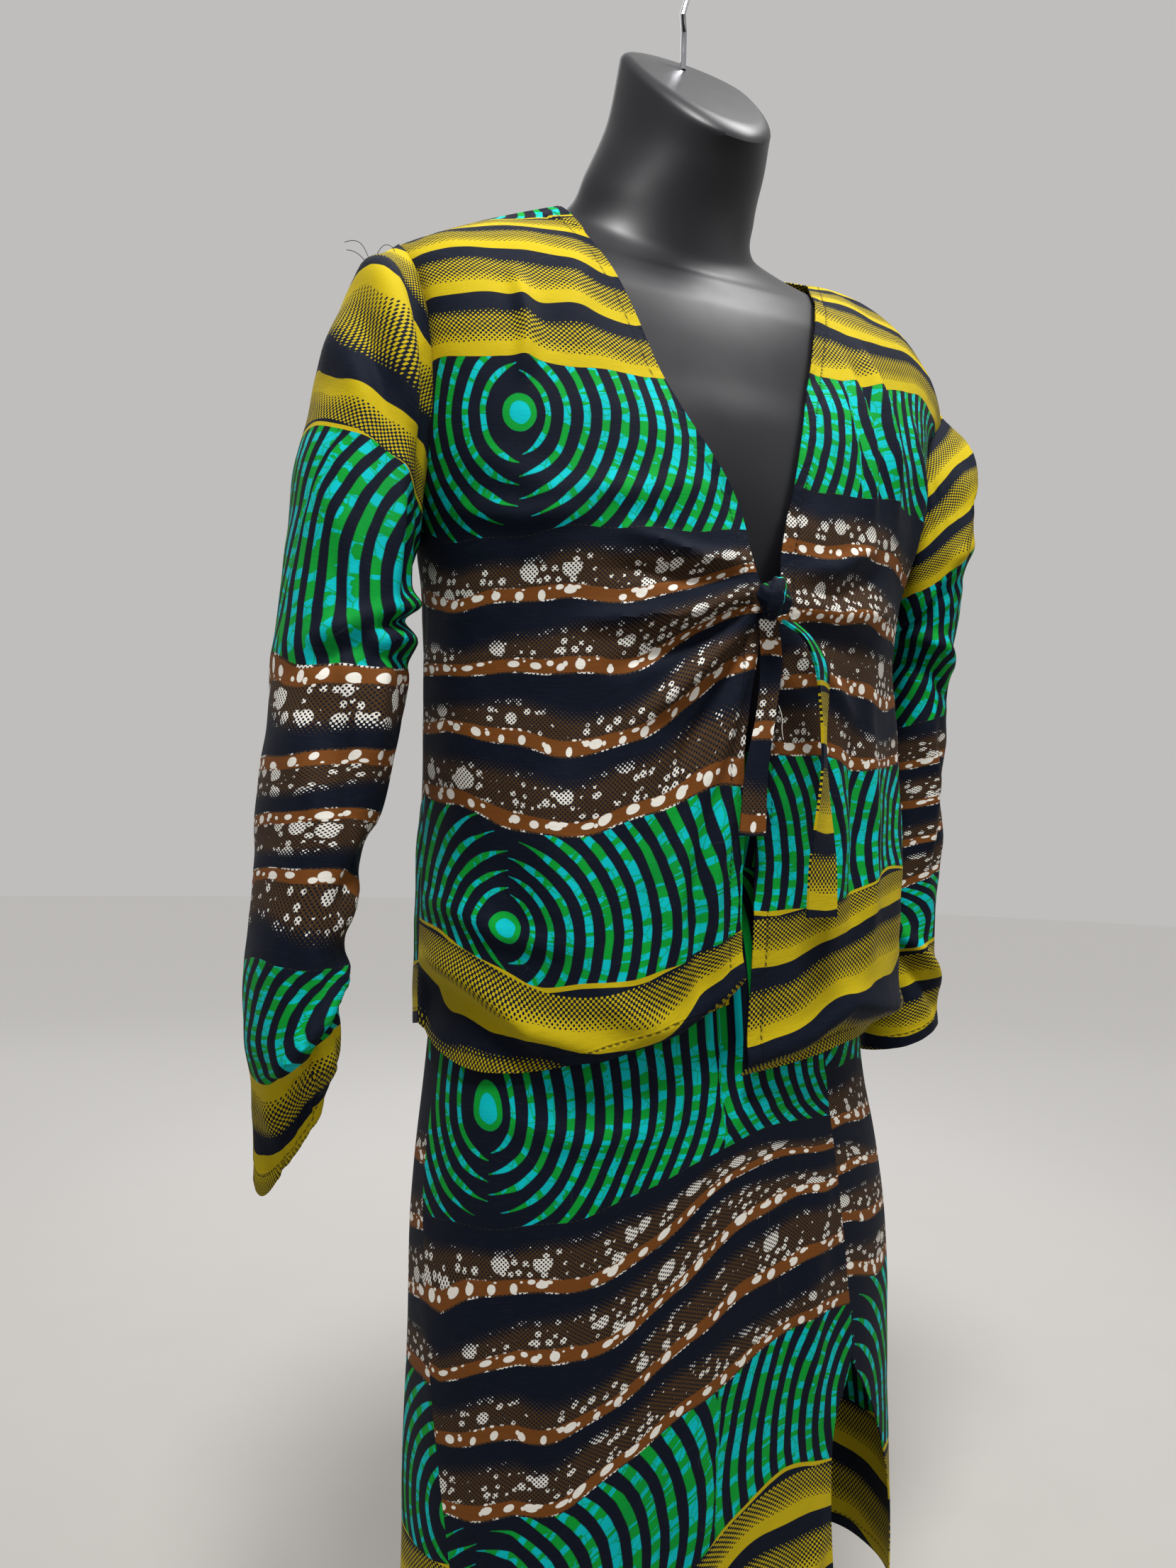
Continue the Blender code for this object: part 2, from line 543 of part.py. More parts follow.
def across_seam(normal):
    """The direction squared up to a seam that runs from side to side."""
    return Vector((normal.x, 0.0, normal.z)).normalized()


def sew_sleeve(side, front, back):
    """Sleeve grid set on its armhole, and the wall directions along the shared seam.

    The armhole starts at the shoulder, goes down the front and comes up the back.
    The directions come for the sleeve's first ring, the front's rows and the back's rows."""
    underarm, top = ROWS_BELOW, ROWS_BELOW + ROWS_ABOVE
    front_normals = grid_normals(front, flip=side < 0)
    back_normals = grid_normals(back, flip=side > 0)
    places = [(front, front_normals, i) for i in range(top, underarm - 1, -1)]
    places += [(back, back_normals, i) for i in range(underarm + 1, top)]
    sleeve = sleeve_grid(side, [grid[i][-1] for grid, _, i in places])
    sleeve_normals = grid_normals(sleeve, closed=True, flip=side < 0)[0]

    on_sleeve, on_front, on_back = {}, {}, {}
    ring = []
    for j, (grid, normals, i) in enumerate(places):
        middle = normals[i][-1] + sleeve_normals[j]
        middle = across_seam(middle) if i in (underarm, top) else middle.normalized()
        direction = middle / max(middle.dot(normals[i][-1]), 0.5)
        tangent = sleeve[0][(j + 1) % len(places)] - sleeve[0][j - 1]
        away = middle.cross(tangent).normalized()
        outward = (sleeve[1][j] - sleeve[0][j]).normalized()
        if away.dot(outward) < away.dot((grid[i][-2] - grid[i][-1]).normalized()):
            away = -away
        ring.append(sleeve[0][j] + away * SEAM)
        on_sleeve[(0, j)] = direction
        if grid is front:
            on_front[i] = direction
        if grid is back or i in (underarm, top):
            on_back[i] = direction
    sleeve[0] = ring
    return sleeve, on_sleeve, on_front, on_back


def make_jacket(material):
    last, strips = ROWS_BELOW + ROWS_ABOVE, NECK_STRIPS + SHOULDER_STRIPS
    halves, back_edges = {}, {}
    for side, word in ((-1, "right"), (1, "left")):
        front = front_grid(side)
        back = back_half_grid(side, front)
        sleeve, on_sleeve, on_front, on_back = sew_sleeve(side, front, back)
        halves[side] = back

        shoulder = [across_seam(n) for n in grid_normals(front, flip=side < 0)[last]]
        edges = {(last, j): shoulder[j] for j in range(FRONT_STRIPS)}
        edges.update({(i, FRONT_STRIPS): Vector((side, 0, 0)) for i in range(ROWS_BELOW)})
        edges.update({(i, FRONT_STRIPS): direction for i, direction in on_front.items()})
        if side < 0:
            front = [line[::-1] for line in front]
            edges = {(i, FRONT_STRIPS - j): direction for (i, j), direction in edges.items()}
        wall("jacket_front_" + word, front, material, edges=edges)
        wall("sleeve_" + word, sleeve, material, closed=True, flip=side < 0, edges=on_sleeve)

        for j in range(SHOULDER_STRIPS):
            place = strips - side * (NECK_STRIPS + j)
            back_edges[(last, place)] = shoulder[j * FRONT_STRIPS // SHOULDER_STRIPS]
        outer = strips - side * strips
        for i in range(ROWS_BELOW):
            back_edges[(i, outer)] = Vector((side, 0, 0))
        for i, direction in on_back.items():
            back_edges[(i, outer)] = direction
    grid = []
    for left, right in zip(halves[1], halves[-1]):
        grid.append(left[:0:-1] + [(left[0] + right[0]) / 2] + right[1:])
    wall("jacket_back", grid, material, edges=back_edges)


def skirt_ring(level):
    """Section of the skirt at a level, and the angles of its two slit edges and its side seam."""
    shift, half, front, back, slit_front, slit_back, turn = smooth_row(
        SKIRT_COLUMNS, SKIRT_SECTIONS, "level", level)
    if level > SLIT_TOP:
        slit_back = slit_front
    angles = [-math.acos(share ** (SKIRT_SQUARE / 2)) for share in (slit_front, slit_back)]
    return (level, shift, half, front, back, 0.0), angles, math.radians(turn) - math.pi


def skirt_grid(is_front):
    """Rows of a skirt panel from the hem up, and the wall directions along its seams."""
    top, foot = SKIRT_SECTIONS[0][0], SKIRT_SECTIONS[-1][0]
    grid, edges = [], {}
    for i, share in enumerate(steps(SKIRT_ROWS)):
        level = foot + (top - foot) * share
        section, (slit_front, slit_back), side = skirt_ring(level)
        start, end = (slit_front, side) if is_front else (slit_back, side + 2 * math.pi)
        line = [ring_point(section, start + (end - start) * across, SKIRT_SQUARE)
                for across in steps(SKIRT_STRIPS)]
        for j, angle in ((0, start), (SKIRT_STRIPS, end)):
            tangent = (ring_point(section, angle + 0.02, SKIRT_SQUARE)
                       - ring_point(section, angle - 0.02, SKIRT_SQUARE)).normalized()
            inward = 1 if (j == 0) == (end > start) else -1
            line[j] = line[j] + tangent * inward * SEAM / 2
            if j or level > SLIT_TOP:
                edges[(i, SKIRT_STRIPS - j if is_front else j)] = tangent.cross(Vector((0, 0, 1)))
        grid.append(line[::-1] if is_front else line)
    return grid, edges


def make_skirt(material):
    for name, is_front in (("skirt_front", True), ("skirt_back", False)):
        grid, edges = skirt_grid(is_front)
        wall(name, grid, material, edges=edges)


def make_tie(name, rows, count, material):
    """Folded strip that hangs from the knot, twisted as it falls."""
    keys = list(range(len(rows)))
    grid = []
    for share in steps(count):
        x, y, z, half, twist = [smooth(keys, column(TIE_COLUMNS, rows, name), share * keys[-1])
                                for name in TIE_COLUMNS]
        turn = math.radians(twist)
        across = Vector((math.cos(turn), math.sin(turn), 0)) * half
        grid.append([at(x, y, z) + across * place for place in TIE_STRIPS])
    return wall(name, grid[::-1], material, thickness=TIE_WALL)


def make_knot(material):
    """Rounded knot with a groove winding round it."""
    mesh = bmesh.new()
    bmesh.ops.create_uvsphere(mesh, u_segments=18, v_segments=12, radius=1.0)
    for vert in mesh.verts:
        p = vert.co.copy()
        turn = math.atan2(p.y, p.x)
        groove = 1.0 - KNOT_GROOVE * math.cos(3 * (turn + 1.3 * p.z)) * (1 - p.z * p.z)
        reach = Vector([p[axis] * KNOT_RADII[axis] for axis in range(3)])
        vert.co = at(*KNOT_CENTRE) + reach * groove
    return finish("tie_knot", mesh, material)


def main():
    for thing in list(bpy.data.objects):
        bpy.data.objects.remove(thing, do_unlink=True)
    cotton = plain_material("printed_cotton", (0.05, 0.16, 0.13), 0.8)
    lower_cotton = plain_material("printed_cotton_skirt", (0.04, 0.12, 0.12), 0.8)
    tie_cotton = plain_material("tie_cotton", (0.30, 0.26, 0.06), 0.8)
    plastic = plain_material("black_plastic", (0.02, 0.02, 0.022), 0.45)
    chrome = plain_material("chrome", (0.75, 0.75, 0.76), 0.15, 1.0)

    make_form(plastic)
    make_hook(chrome)
    make_jacket(cotton)
    make_knot(tie_cotton)
    make_tie("tie_end_long", TIE_LONG, 16, tie_cotton)
    make_tie("tie_end_short", TIE_SHORT, 9, tie_cotton)
    make_skirt(lower_cotton)


main()
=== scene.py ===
import math
import bpy
import bmesh
import numpy as np
from mathutils import Matrix, Vector, noise


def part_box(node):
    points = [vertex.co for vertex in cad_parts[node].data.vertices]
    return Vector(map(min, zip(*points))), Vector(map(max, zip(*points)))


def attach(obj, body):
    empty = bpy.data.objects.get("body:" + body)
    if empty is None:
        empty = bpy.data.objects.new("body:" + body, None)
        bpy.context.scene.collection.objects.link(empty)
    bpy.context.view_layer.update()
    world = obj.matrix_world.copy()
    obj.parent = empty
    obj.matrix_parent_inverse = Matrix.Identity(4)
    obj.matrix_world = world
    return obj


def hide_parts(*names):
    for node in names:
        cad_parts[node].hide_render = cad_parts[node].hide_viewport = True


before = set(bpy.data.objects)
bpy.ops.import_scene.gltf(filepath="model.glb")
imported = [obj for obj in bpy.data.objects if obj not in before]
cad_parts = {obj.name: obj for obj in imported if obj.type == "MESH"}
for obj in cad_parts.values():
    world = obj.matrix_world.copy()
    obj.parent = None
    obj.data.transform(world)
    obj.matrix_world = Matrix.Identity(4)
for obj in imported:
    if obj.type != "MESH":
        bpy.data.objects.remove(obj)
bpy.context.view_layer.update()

neckLevel = -0.215                       # the tables give heights from the neck point
stages = {"done": 0}


def say(words):
    stages["done"] += 1
    print("kitenge dress", stages["done"], words)


def placed(name, data):                  # a new piece in the scene
    piece = bpy.data.objects.new(name, data)
    bpy.context.collection.objects.link(piece)
    return piece


def pickOnly(piece):
    bpy.ops.object.select_all(action="DESELECT")
    piece.select_set(True)
    bpy.context.view_layer.objects.active = piece


def aimed(piece, place, turn):
    piece.matrix_world = Matrix.Translation(Vector(place)) @ turn.to_4x4()


# camera, as in the photograph: in front of the dress, almost level, a little below the whole's middle
cameraPlan = {"place": (-0.440, -0.781, -0.630), "turn": -26.0, "tip": -1.4, "roll": 1.5,
              "sensor": 36, "lens": 1800 / 2212 * 36}


def makeCamera(plan):
    turn, tip, roll = (math.radians(plan[key]) for key in ("turn", "tip", "roll"))
    ahead = Vector((-math.sin(turn) * math.cos(tip), math.cos(turn) * math.cos(tip), -math.sin(tip)))
    right = Vector((math.cos(turn), math.sin(turn), 0))
    up = right.cross(ahead)
    across = right * math.cos(roll) + up * math.sin(roll)
    upward = up * math.cos(roll) - right * math.sin(roll)
    data = bpy.data.cameras.new("camera")
    data.lens, data.sensor_width, data.sensor_fit = plan["lens"], plan["sensor"], "AUTO"
    camera = placed("camera", data)
    aimed(camera, plan["place"], Matrix((across, upward, -ahead)).transposed())
    bpy.context.scene.camera = camera
    bpy.context.scene.view_settings.view_transform = "Standard"


makeCamera(cameraPlan)
say("camera")


# shader maths

class Value:                             # one socket, with arithmetic that adds Math nodes
    def __init__(self, finish, socket):
        self.finish, self.socket = finish, socket

    def maths(self, operation, *others):
        return self.finish.add("ShaderNodeMath", {"operation": operation},
                               dict(enumerate((self,) + others)))

    def __add__(self, other): return self.maths("ADD", other)
    def __sub__(self, other): return self.maths("SUBTRACT", other)
    def __mul__(self, other): return self.maths("MULTIPLY", other)
    def __truediv__(self, other): return self.maths("DIVIDE", other)
    def __mod__(self, other): return self.maths("FLOORED_MODULO", other)
    def __lt__(self, other): return self.maths("LESS_THAN", other)
    def __gt__(self, other): return self.maths("GREATER_THAN", other)
    def __neg__(self): return self.maths("MULTIPLY", -1.0)
    def __abs__(self): return self.maths("ABSOLUTE")
    def __radd__(self, other): return self.maths("ADD", other)
    def __rmul__(self, other): return self.maths("MULTIPLY", other)

    def __rsub__(self, other):
        return self.finish.add("ShaderNodeMath", {"operation": "SUBTRACT"}, {0: other, 1: self})

    def sine(self): return self.maths("SINE")
    def cosine(self): return self.maths("COSINE")
    def floor(self): return self.maths("FLOOR")
    def fraction(self): return self.maths("FRACT")
    def root(self): return self.maths("SQRT")
    def least(self, other): return self.maths("MINIMUM", other)
    def most(self, other): return self.maths("MAXIMUM", other)

    def rises(self, low, high):          # 0 below low, 1 above high, eased between
        return self.finish.add("ShaderNodeMapRange", {"interpolation_type": "SMOOTHSTEP"},
                               {0: self, 1: low, 2: high, 3: 0.0, 4: 1.0})


class Finish:                            # one material
    def __init__(self, name, **shader):
        self.material = bpy.data.materials.new(name)
        self.material.use_nodes = True
        self.tree = self.material.node_tree
        self.shader = self.tree.nodes["Principled BSDF"]
        self.set(**shader)

    def set(self, **sockets):
        for name, value in sockets.items():
            self.feed(self.shader.inputs[name.replace("_", " ")], value)

    def feed(self, socket, value):
        if isinstance(value, Value):
            self.tree.links.new(value.socket, socket)
        else:
            socket.default_value = value

    def add(self, kind, settings, sockets, output=0):
        node = self.tree.nodes.new(kind)
        for name, value in settings.items():
            setattr(node, name, value)
        for name, value in sockets.items():
            self.feed(node.inputs[name], value)
        return Value(self, node.outputs[output])

    def place(self):                     # object coordinates, as three values
        vector = self.add("ShaderNodeTexCoord", {}, {}, "Object")
        return [self.add("ShaderNodeSeparateXYZ", {}, {0: vector}, i) for i in range(3)]

    def attribute(self, name):
        return self.add("ShaderNodeAttribute", {"attribute_name": name}, {}, "Fac")

    def vector(self, x, y, z=0.0):
        return self.add("ShaderNodeCombineXYZ", {}, {0: x, 1: y, 2: z})

    def blotches(self, vector, scale, detail=1.0, rough=0.5):
        return self.add("ShaderNodeTexNoise", {"noise_dimensions": "3D"},
                        {"Vector": vector, "Scale": scale, "Detail": detail, "Roughness": rough})

    def cells(self, vector, scale, feature="F1", output="Distance"):
        return self.add("ShaderNodeTexVoronoi", {"feature": feature, "voronoi_dimensions": "2D"},
                        {"Vector": vector, "Scale": scale}, output)

    def chance(self, x, y, which=0):     # a random number for each pair of whole numbers
        vector = self.vector(x, y, float(which))
        return self.add("ShaderNodeTexWhiteNoise", {"noise_dimensions": "3D"}, {"Vector": vector})

    def mix(self, share, first, second):
        return self.add("ShaderNodeMix", {"data_type": "RGBA", "clamp_factor": True},
                        {0: share, 6: colour(first), 7: colour(second)}, 2)

    def bump(self, height, distance):
        return self.add("ShaderNodeBump", {}, {"Height": height, "Distance": distance})


def colour(value):                       # screen colour 0 to 255, as the shader wants it
    if isinstance(value, Value):
        return value
    linear = [(part / 255 / 12.92) if part < 11 else ((part / 255 + 0.055) / 1.055) ** 2.4
              for part in value]
    return (*linear, 1.0)


# wax print: two ring fields, four mustard bands and four brown bands down the cloth.
# u runs across the cloth from a ring's centre, v up it and s down it, in metres.
# sway is s with the wander of the bands, hand the unsteady hand of the block cutter, wide a slow drift.
# most pairs are where something begins and where it is whole
inkPlan = {
    "navy": (9, 15, 28), "green": (4, 138, 44), "turquoise": (0, 170, 176), "deepGreen": (0, 90, 60),
    "mustard": (170, 150, 12), "brown": (104, 60, 22), "meshBrown": (66, 46, 24),
    "white": (214, 210, 200), "crackle": (70, 80, 90),
}
printPlan = {
    "repeat": 0.545, "mustardTo": 0.158, "ringsTo": 0.264, "brownTo": 0.442, "lastLine": 0.003,
    "handScale": 60.0, "wideScale": 11.0, "handDrift": 0.0012, "wideDrift": 0.010,
    "waves": ((0.145, 22.0, 0.0035), (0.052, -31.0, 0.0010)),     # length across, lean, height
    "crackleDrift": (0.05, 0.01), "crackleScale": 21.0, "crackleWidth": (0.002, 0.008),
    "fadeScale": 35.0, "fades": (0.58, 0.75), "crackleShare": 0.22,
}
ringPlan = {
    "halfWidth": 0.150, "centres": (0.193, 0.513), "between": (0.35, 0.3501),
    "pitch": 0.0115, "point": 0.007, "flat": 0.86, "shift": 0.35, "handDrift": 0.0016, "wideDrift": 0.006,
    # the rings are open above and below, further out the more, and their strokes taper
    "opens": (0.034, 0.110), "gap": 0.46, "uneven": 0.14, "closer": 0.02, "soft": 0.03,
    "strokeLeast": 0.11, "strokeGrows": 1.2, "strokeMost": 0.115, "strokeTip": 0.015, "tipWithin": 0.02,
    "disc": 0.0104, "discEdge": (0.0003, 0.0001), "discFlat": 0.8, "discDrift": 0.0012,
    "discClear": (0.0155, 0.0158), "core": (0.0060, 0.0066), "coreDrift": 0.004,
    "foldLine": (0.0008, 0.0014), "foldDrift": 0.003, "foldShare": 0.9,
    "patchScale": 120.0, "patchShift": (5.3, 2.4), "patchRough": 0.45, "patchDrift": 0.10,
    "patches": (0.50, 0.52),
    "veinDrift": 0.006, "veinScale": 120.0, "veins": (0.02, 0.06), "veinShare": 0.75,
    "toneScale": 26.0, "toneSeed": 0.7, "tones": (0.40, 0.8), "toneShare": 0.22,
}
mustardPlan = {
    "pitch": 0.043, "dot": 0.0032, "from": (0.26, 0.28), "thickens": (0.24, 0.40), "closes": (0.58, 0.80),
    "cover": (1.30, 0.85, 1.45), "soft": 0.22, "plainFrom": (0.775, 0.785), "plainTo": (0.994, 0.999),
}
brownPlan = {
    "pitch": 0.0445, "mesh": 0.0027, "startScale": (7.0, 3.7), "starts": (0.35, 0.75),
    "startMost": 0.40, "startLeast": 0.14, "thickens": 0.26, "cover": (2.3, 1.9), "soft": 0.3,
    "meshWithin": 0.06, "blotDrift": (0.002, 0.004), "blotSizes": (0.36, 0.80), "blotUneven": 0.10,
    "blotSoft": 0.03, "laceHoles": 0.95, "laceSoft": 0.15, "laceFrom": (0.06, 0.10),
    "blots": ((0.0150, 0.02, 0.40), (0.0062, 0.00, 0.34)),        # cell, least and greatest share of it
    "stripeFrom": (0.775, 0.80), "stripeTo": (0.972, 0.985), "stripeDrift": (0.03, 0.02),
    # cell, half height, place, seed, how many of the cells have one
    "pebbles": ((0.0150, 0.080, 0.890, 1, 0.80), (0.0090, 0.050, 0.855, 2, 0.45),
                (0.0056, 0.024, 0.805, 3, 0.40)),
    "pebbleShift": (0.37, 0.21), "pebbleWander": (0.45, 0.07), "pebbleDrift": (0.30, 0.03),
    "pebbleWidth": (0.15, 0.13), "pebbleHeight": (0.5, 0.55), "pebbleEdge": (0.85, 1.1),
    "pebblesFrom": (0.70, 0.72),
}
fullTurn = 2 * math.pi


def screenDots(u, v, size):              # a slanting screen, about -2 to 2
    spread = fullTurn / size
    return ((u + v) * spread).cosine() + ((u - v) * spread).cosine()


def ringFields(finish, plan, u, v, s, hand, wide):
    x = ((u + plan["halfWidth"]) % (2 * plan["halfWidth"])) - plan["halfWidth"]
    upper, lower = plan["centres"]
    y = s - s.rises(*plan["between"]) * (lower - upper) - upper
    side = abs(x)
    lens = side + plan["point"]
    reach = (lens * lens + y * y * plan["flat"]).root()
    reach = reach + hand * plan["handDrift"] + wide * plan["wideDrift"]
    ring = reach / plan["pitch"] + (x > 0.0) * plan["shift"]
    number = ring.floor()
    chance = finish.chance(number, (x > 0.0))
    gap = reach.rises(*plan["opens"]) * plan["gap"] + (chance - 0.5) * plan["uneven"] - plan["closer"]
    slant = side / (reach + 0.001) - gap
    width = plan["strokeLeast"] + (reach * plan["strokeGrows"]).least(plan["strokeMost"])
    width = width * slant.rises(0.0, plan["gap"]) + plan["strokeTip"]
    line = 1.0 - (abs(ring.fraction() - 0.5) - width).rises(-plan["soft"], plan["soft"])
    line = line * slant.rises(0.0, plan["tipWithin"])
    middle = (x * x + y * y * plan["discFlat"]).root() + hand * plan["discDrift"]
    inner, outer = plan["discEdge"]
    disc = 1.0 - middle.rises(plan["disc"] - inner, plan["disc"] + outer)
    area = middle.rises(*plan["discClear"]) * line + disc
    foldLine = 1.0 - (plan["halfWidth"] - side + hand * plan["foldDrift"]).rises(*plan["foldLine"])
    area = area.most(foldLine * plan["foldShare"])

    # turquoise patches along the rings, with thin veins
    arc = y.maths("ARCTAN2", x) * (number + 1.0) * plan["pitch"]
    across, through = plan["patchShift"]
    patch = finish.vector(arc * plan["patchScale"], number * across, hand * through)
    patch = finish.blotches(patch, 1.0, 2.0, plan["patchRough"])
    patch = (patch + hand * plan["patchDrift"]).rises(*plan["patches"])
    veins = finish.vector(u + hand * plan["veinDrift"], v)
    veins = 1.0 - finish.cells(veins, plan["veinScale"], "DISTANCE_TO_EDGE").rises(*plan["veins"])
    patch = patch * (1.0 - veins * plan["veinShare"])
    core = 1.0 - (middle + hand * plan["coreDrift"]).rises(*plan["core"])
    patch = patch * (1.0 - disc) + disc * core
    inks = finish.mix(patch, inkPlan["green"], inkPlan["turquoise"])
    tone = finish.blotches(finish.vector(u, v, plan["toneSeed"]), plan["toneScale"], 2.0)
    inks = finish.mix(tone.rises(*plan["tones"]) * plan["toneShare"], inks, inkPlan["deepGreen"])
    return finish.mix(area, inkPlan["navy"], inks)


# navy, a dotted screen that thickens, a plain edge
def mustardBands(finish, plan, u, v, down):
    step = (down / plan["pitch"]).fraction()
    first, second, less = plan["cover"]
    cover = step.rises(*plan["thickens"]) * first + step.rises(*plan["closes"]) * second - less
    dots = (screenDots(u, v, plan["dot"]) + cover).rises(-plan["soft"], plan["soft"])
    dots = dots * step.rises(*plan["from"])
    dots = dots.most(step.rises(*plan["plainFrom"])) * (1.0 - step.rises(*plan["plainTo"]))
    return finish.mix(dots, inkPlan["navy"], inkPlan["mustard"])


# navy, a fine screen with lace in it, a plain stripe with pebbles
def brownBands(finish, plan, u, v, down, hand, wide):
    brown = down / plan["pitch"]
    level, row = brown.fraction(), brown.floor()
    net = screenDots(u, v, plan["mesh"])
    across, through = plan["startScale"]
    begins = finish.blotches(finish.vector(u * across, row * through), 1.0, 1.0).rises(*plan["starts"])
    deep = level - (begins * plan["startMost"] + plan["startLeast"])
    grows, less = plan["cover"]
    cover = deep.rises(0.0, plan["thickens"]) * grows - less
    threads = (net + cover).rises(-plan["soft"], plan["soft"]) * deep.rises(0.0, plan["meshWithin"])
    lace = None                          # white blots that the screen shows through
    spot = finish.vector(u + hand * plan["blotDrift"][0], v + wide * plan["blotDrift"][1])
    for cell, least, most in plan["blots"]:
        size = finish.cells(spot, 1 / cell, "F1", "Color").rises(*plan["blotSizes"])
        size = size * (most - least) + least
        reach = finish.cells(spot, 1 / cell) + hand * plan["blotUneven"]
        one = 1.0 - (reach - size).rises(-plan["blotSoft"], plan["blotSoft"])
        lace = one if lace is None else lace.most(one)
    holes = (net + plan["laceHoles"]).rises(-plan["laceSoft"], plan["laceSoft"])
    lace = lace * holes * deep.rises(*plan["laceFrom"])
    upper, lower = plan["stripeDrift"]
    stripe = (level + hand * upper).rises(*plan["stripeFrom"])
    stripe = stripe * (1.0 - (level + hand * lower).rises(*plan["stripeTo"]))
    pebbles = None
    for cell, tallest, high, seed, often in plan["pebbles"]:
        along = u / cell + row * plan["pebbleShift"][0] + seed * plan["pebbleShift"][1]
        here = along.floor()
        first, second = finish.chance(here, row, seed), finish.chance(here, row, seed + 10)
        wander, drift = plan["pebbleWander"], plan["pebbleDrift"]
        dx = along.fraction() - 0.5 + (first - 0.5) * wander[0] + hand * drift[0]
        dx = dx / (second * plan["pebbleWidth"][0] + plan["pebbleWidth"][1])
        dy = level - high + (second - 0.5) * wander[1] + hand * drift[1]
        dy = dy / (tallest * (first * plan["pebbleHeight"][0] + plan["pebbleHeight"][1]))
        one = (1.0 - (dx * dx + dy * dy).rises(*plan["pebbleEdge"])) * (first < often)
        pebbles = one if pebbles is None else pebbles.most(one)
    earth = finish.mix(lace, inkPlan["meshBrown"], inkPlan["white"])
    earth = finish.mix(threads, inkPlan["navy"], earth)
    earth = finish.mix(stripe, earth, inkPlan["brown"])
    return finish.mix(pebbles * level.rises(*plan["pebblesFrom"]), earth, inkPlan["white"])


def waxPrint(finish, plan):              # the print's colour at the piece's UV
    uv = finish.add("ShaderNodeUVMap", {"uv_map": "cloth"}, {})
    u, v = [finish.add("ShaderNodeSeparateXYZ", {}, {0: uv}, i) for i in range(2)]
    s = (-v) % plan["repeat"]
    plane = finish.vector(u, v)
    hand = finish.blotches(plane, plan["handScale"]) - 0.5
    wide = finish.blotches(plane, plan["wideScale"]) - 0.5

    def past(level):                     # 1 below a line across the cloth
        return sway.rises(level - 1e-4, level + 1e-4)

    long, short = ((u * (fullTurn / length) + s * lean).sine() * high
                   for length, lean, high in plan["waves"])
    sway = s + (long + short) + wide * plan["wideDrift"] + hand * plan["handDrift"]
    inRings = past(plan["mustardTo"]) - past(plan["ringsTo"]) + past(plan["brownTo"])
    inRings = inRings - past(plan["repeat"] - plan["lastLine"])
    inBrown = past(plan["ringsTo"]) - past(plan["brownTo"])
    rings = ringFields(finish, ringPlan, u, v, s, hand, wide)
    bands = mustardBands(finish, mustardPlan, u, v, sway - plan["mustardTo"])
    earth = brownBands(finish, brownPlan, u, v, sway - plan["ringsTo"], hand, wide)
    whole = finish.mix(inRings, finish.mix(inBrown, bands, earth), rings)
    slow, quick = plan["crackleDrift"]
    crackle = finish.vector(u + wide * slow, v + hand * quick)
    crackle = finish.cells(crackle, plan["crackleScale"], "DISTANCE_TO_EDGE")
    crackle = 1.0 - crackle.rises(*plan["crackleWidth"])
    fade = finish.blotches(plane, plan["fadeScale"]).rises(*plan["fades"])
    whole = finish.mix(crackle * fade * plan["crackleShare"], whole, inkPlan["crackle"])
    return whole, u, v


cottonPlan = {
    "rough": (0.14, 0.62), "flatRough": 0.70, "sheen": 0.01, "sheenRough": 0.5, "shine": 0.07,
    "stitchAt": 0.0095, "stitchHalf": (0.0004, 0.0009), "stitchLength": 1400.0, "stitches": (-0.4, 0.0),
    "stitchShare": 0.75, "thread": (10, 10, 16), "turnedTo": 0.012, "turned": 0.8,
    "puckersTo": (0.008, 0.02), "slubTone": (130, 130, 130), "slubStretch": 0.12, "slubScale": 900.0,
    "slubs": (0.45, 0.9), "slubShare": 0.02, "weaveScale": 7000.0, "puckerScale": 210.0, "softScale": 70.0,
    "relief": 0.0006, "weave": 0.06, "fold": 0.7, "pucker": 1.2, "slub": 0.25, "soft": 0.9,
}


def cottonFinish(name, plan):
    finish = Finish(name, Roughness=plan["flatRough"], Sheen_Weight=plan["sheen"],
                    Sheen_Roughness=plan["sheenRough"], Specular_IOR_Level=plan["shine"])
    whole, u, v = waxPrint(finish, printPlan)
    cloth = finish.vector(u, v)
    edge = finish.attribute("edgeReach")                  # metres from a turned edge
    stitchLine = (1.0 - abs(edge - plan["stitchAt"]).rises(*plan["stitchHalf"]))
    stitch = stitchLine * ((u + v) * plan["stitchLength"]).sine().rises(*plan["stitches"])
    shade = finish.mix(stitch * plan["stitchShare"], whole, plan["thread"])
    slub = finish.blotches(finish.vector(u * plan["slubStretch"], v), plan["slubScale"], 2.0)
    shade = finish.mix(slub.rises(*plan["slubs"]) * plan["slubShare"], shade, plan["slubTone"])
    share, least = plan["rough"]
    finish.set(Base_Color=shade, Roughness=least + slub * share)
    weave = (u * plan["weaveScale"]).sine() * (v * plan["weaveScale"]).sine()
    fold = stitchLine * -1.0 + edge.rises(plan["stitchAt"], plan["turnedTo"]) * -plan["turned"]
    pucker = finish.blotches(cloth, plan["puckerScale"], 2.0) * (1.0 - edge.rises(*plan["puckersTo"]))
    height = weave * plan["weave"] + fold * plan["fold"] + pucker * plan["pucker"] + slub * plan["slub"]
    height = height + finish.blotches(cloth, plan["softScale"], 3.0) * plan["soft"]
    finish.set(Normal=finish.bump(height, plan["relief"]))
    return finish.material


cotton = cottonFinish("printedCotton", cottonPlan)
say("print and cotton")


# curves through tables, and cloth walls

def steps(count):
    return np.arange(count + 1) / count


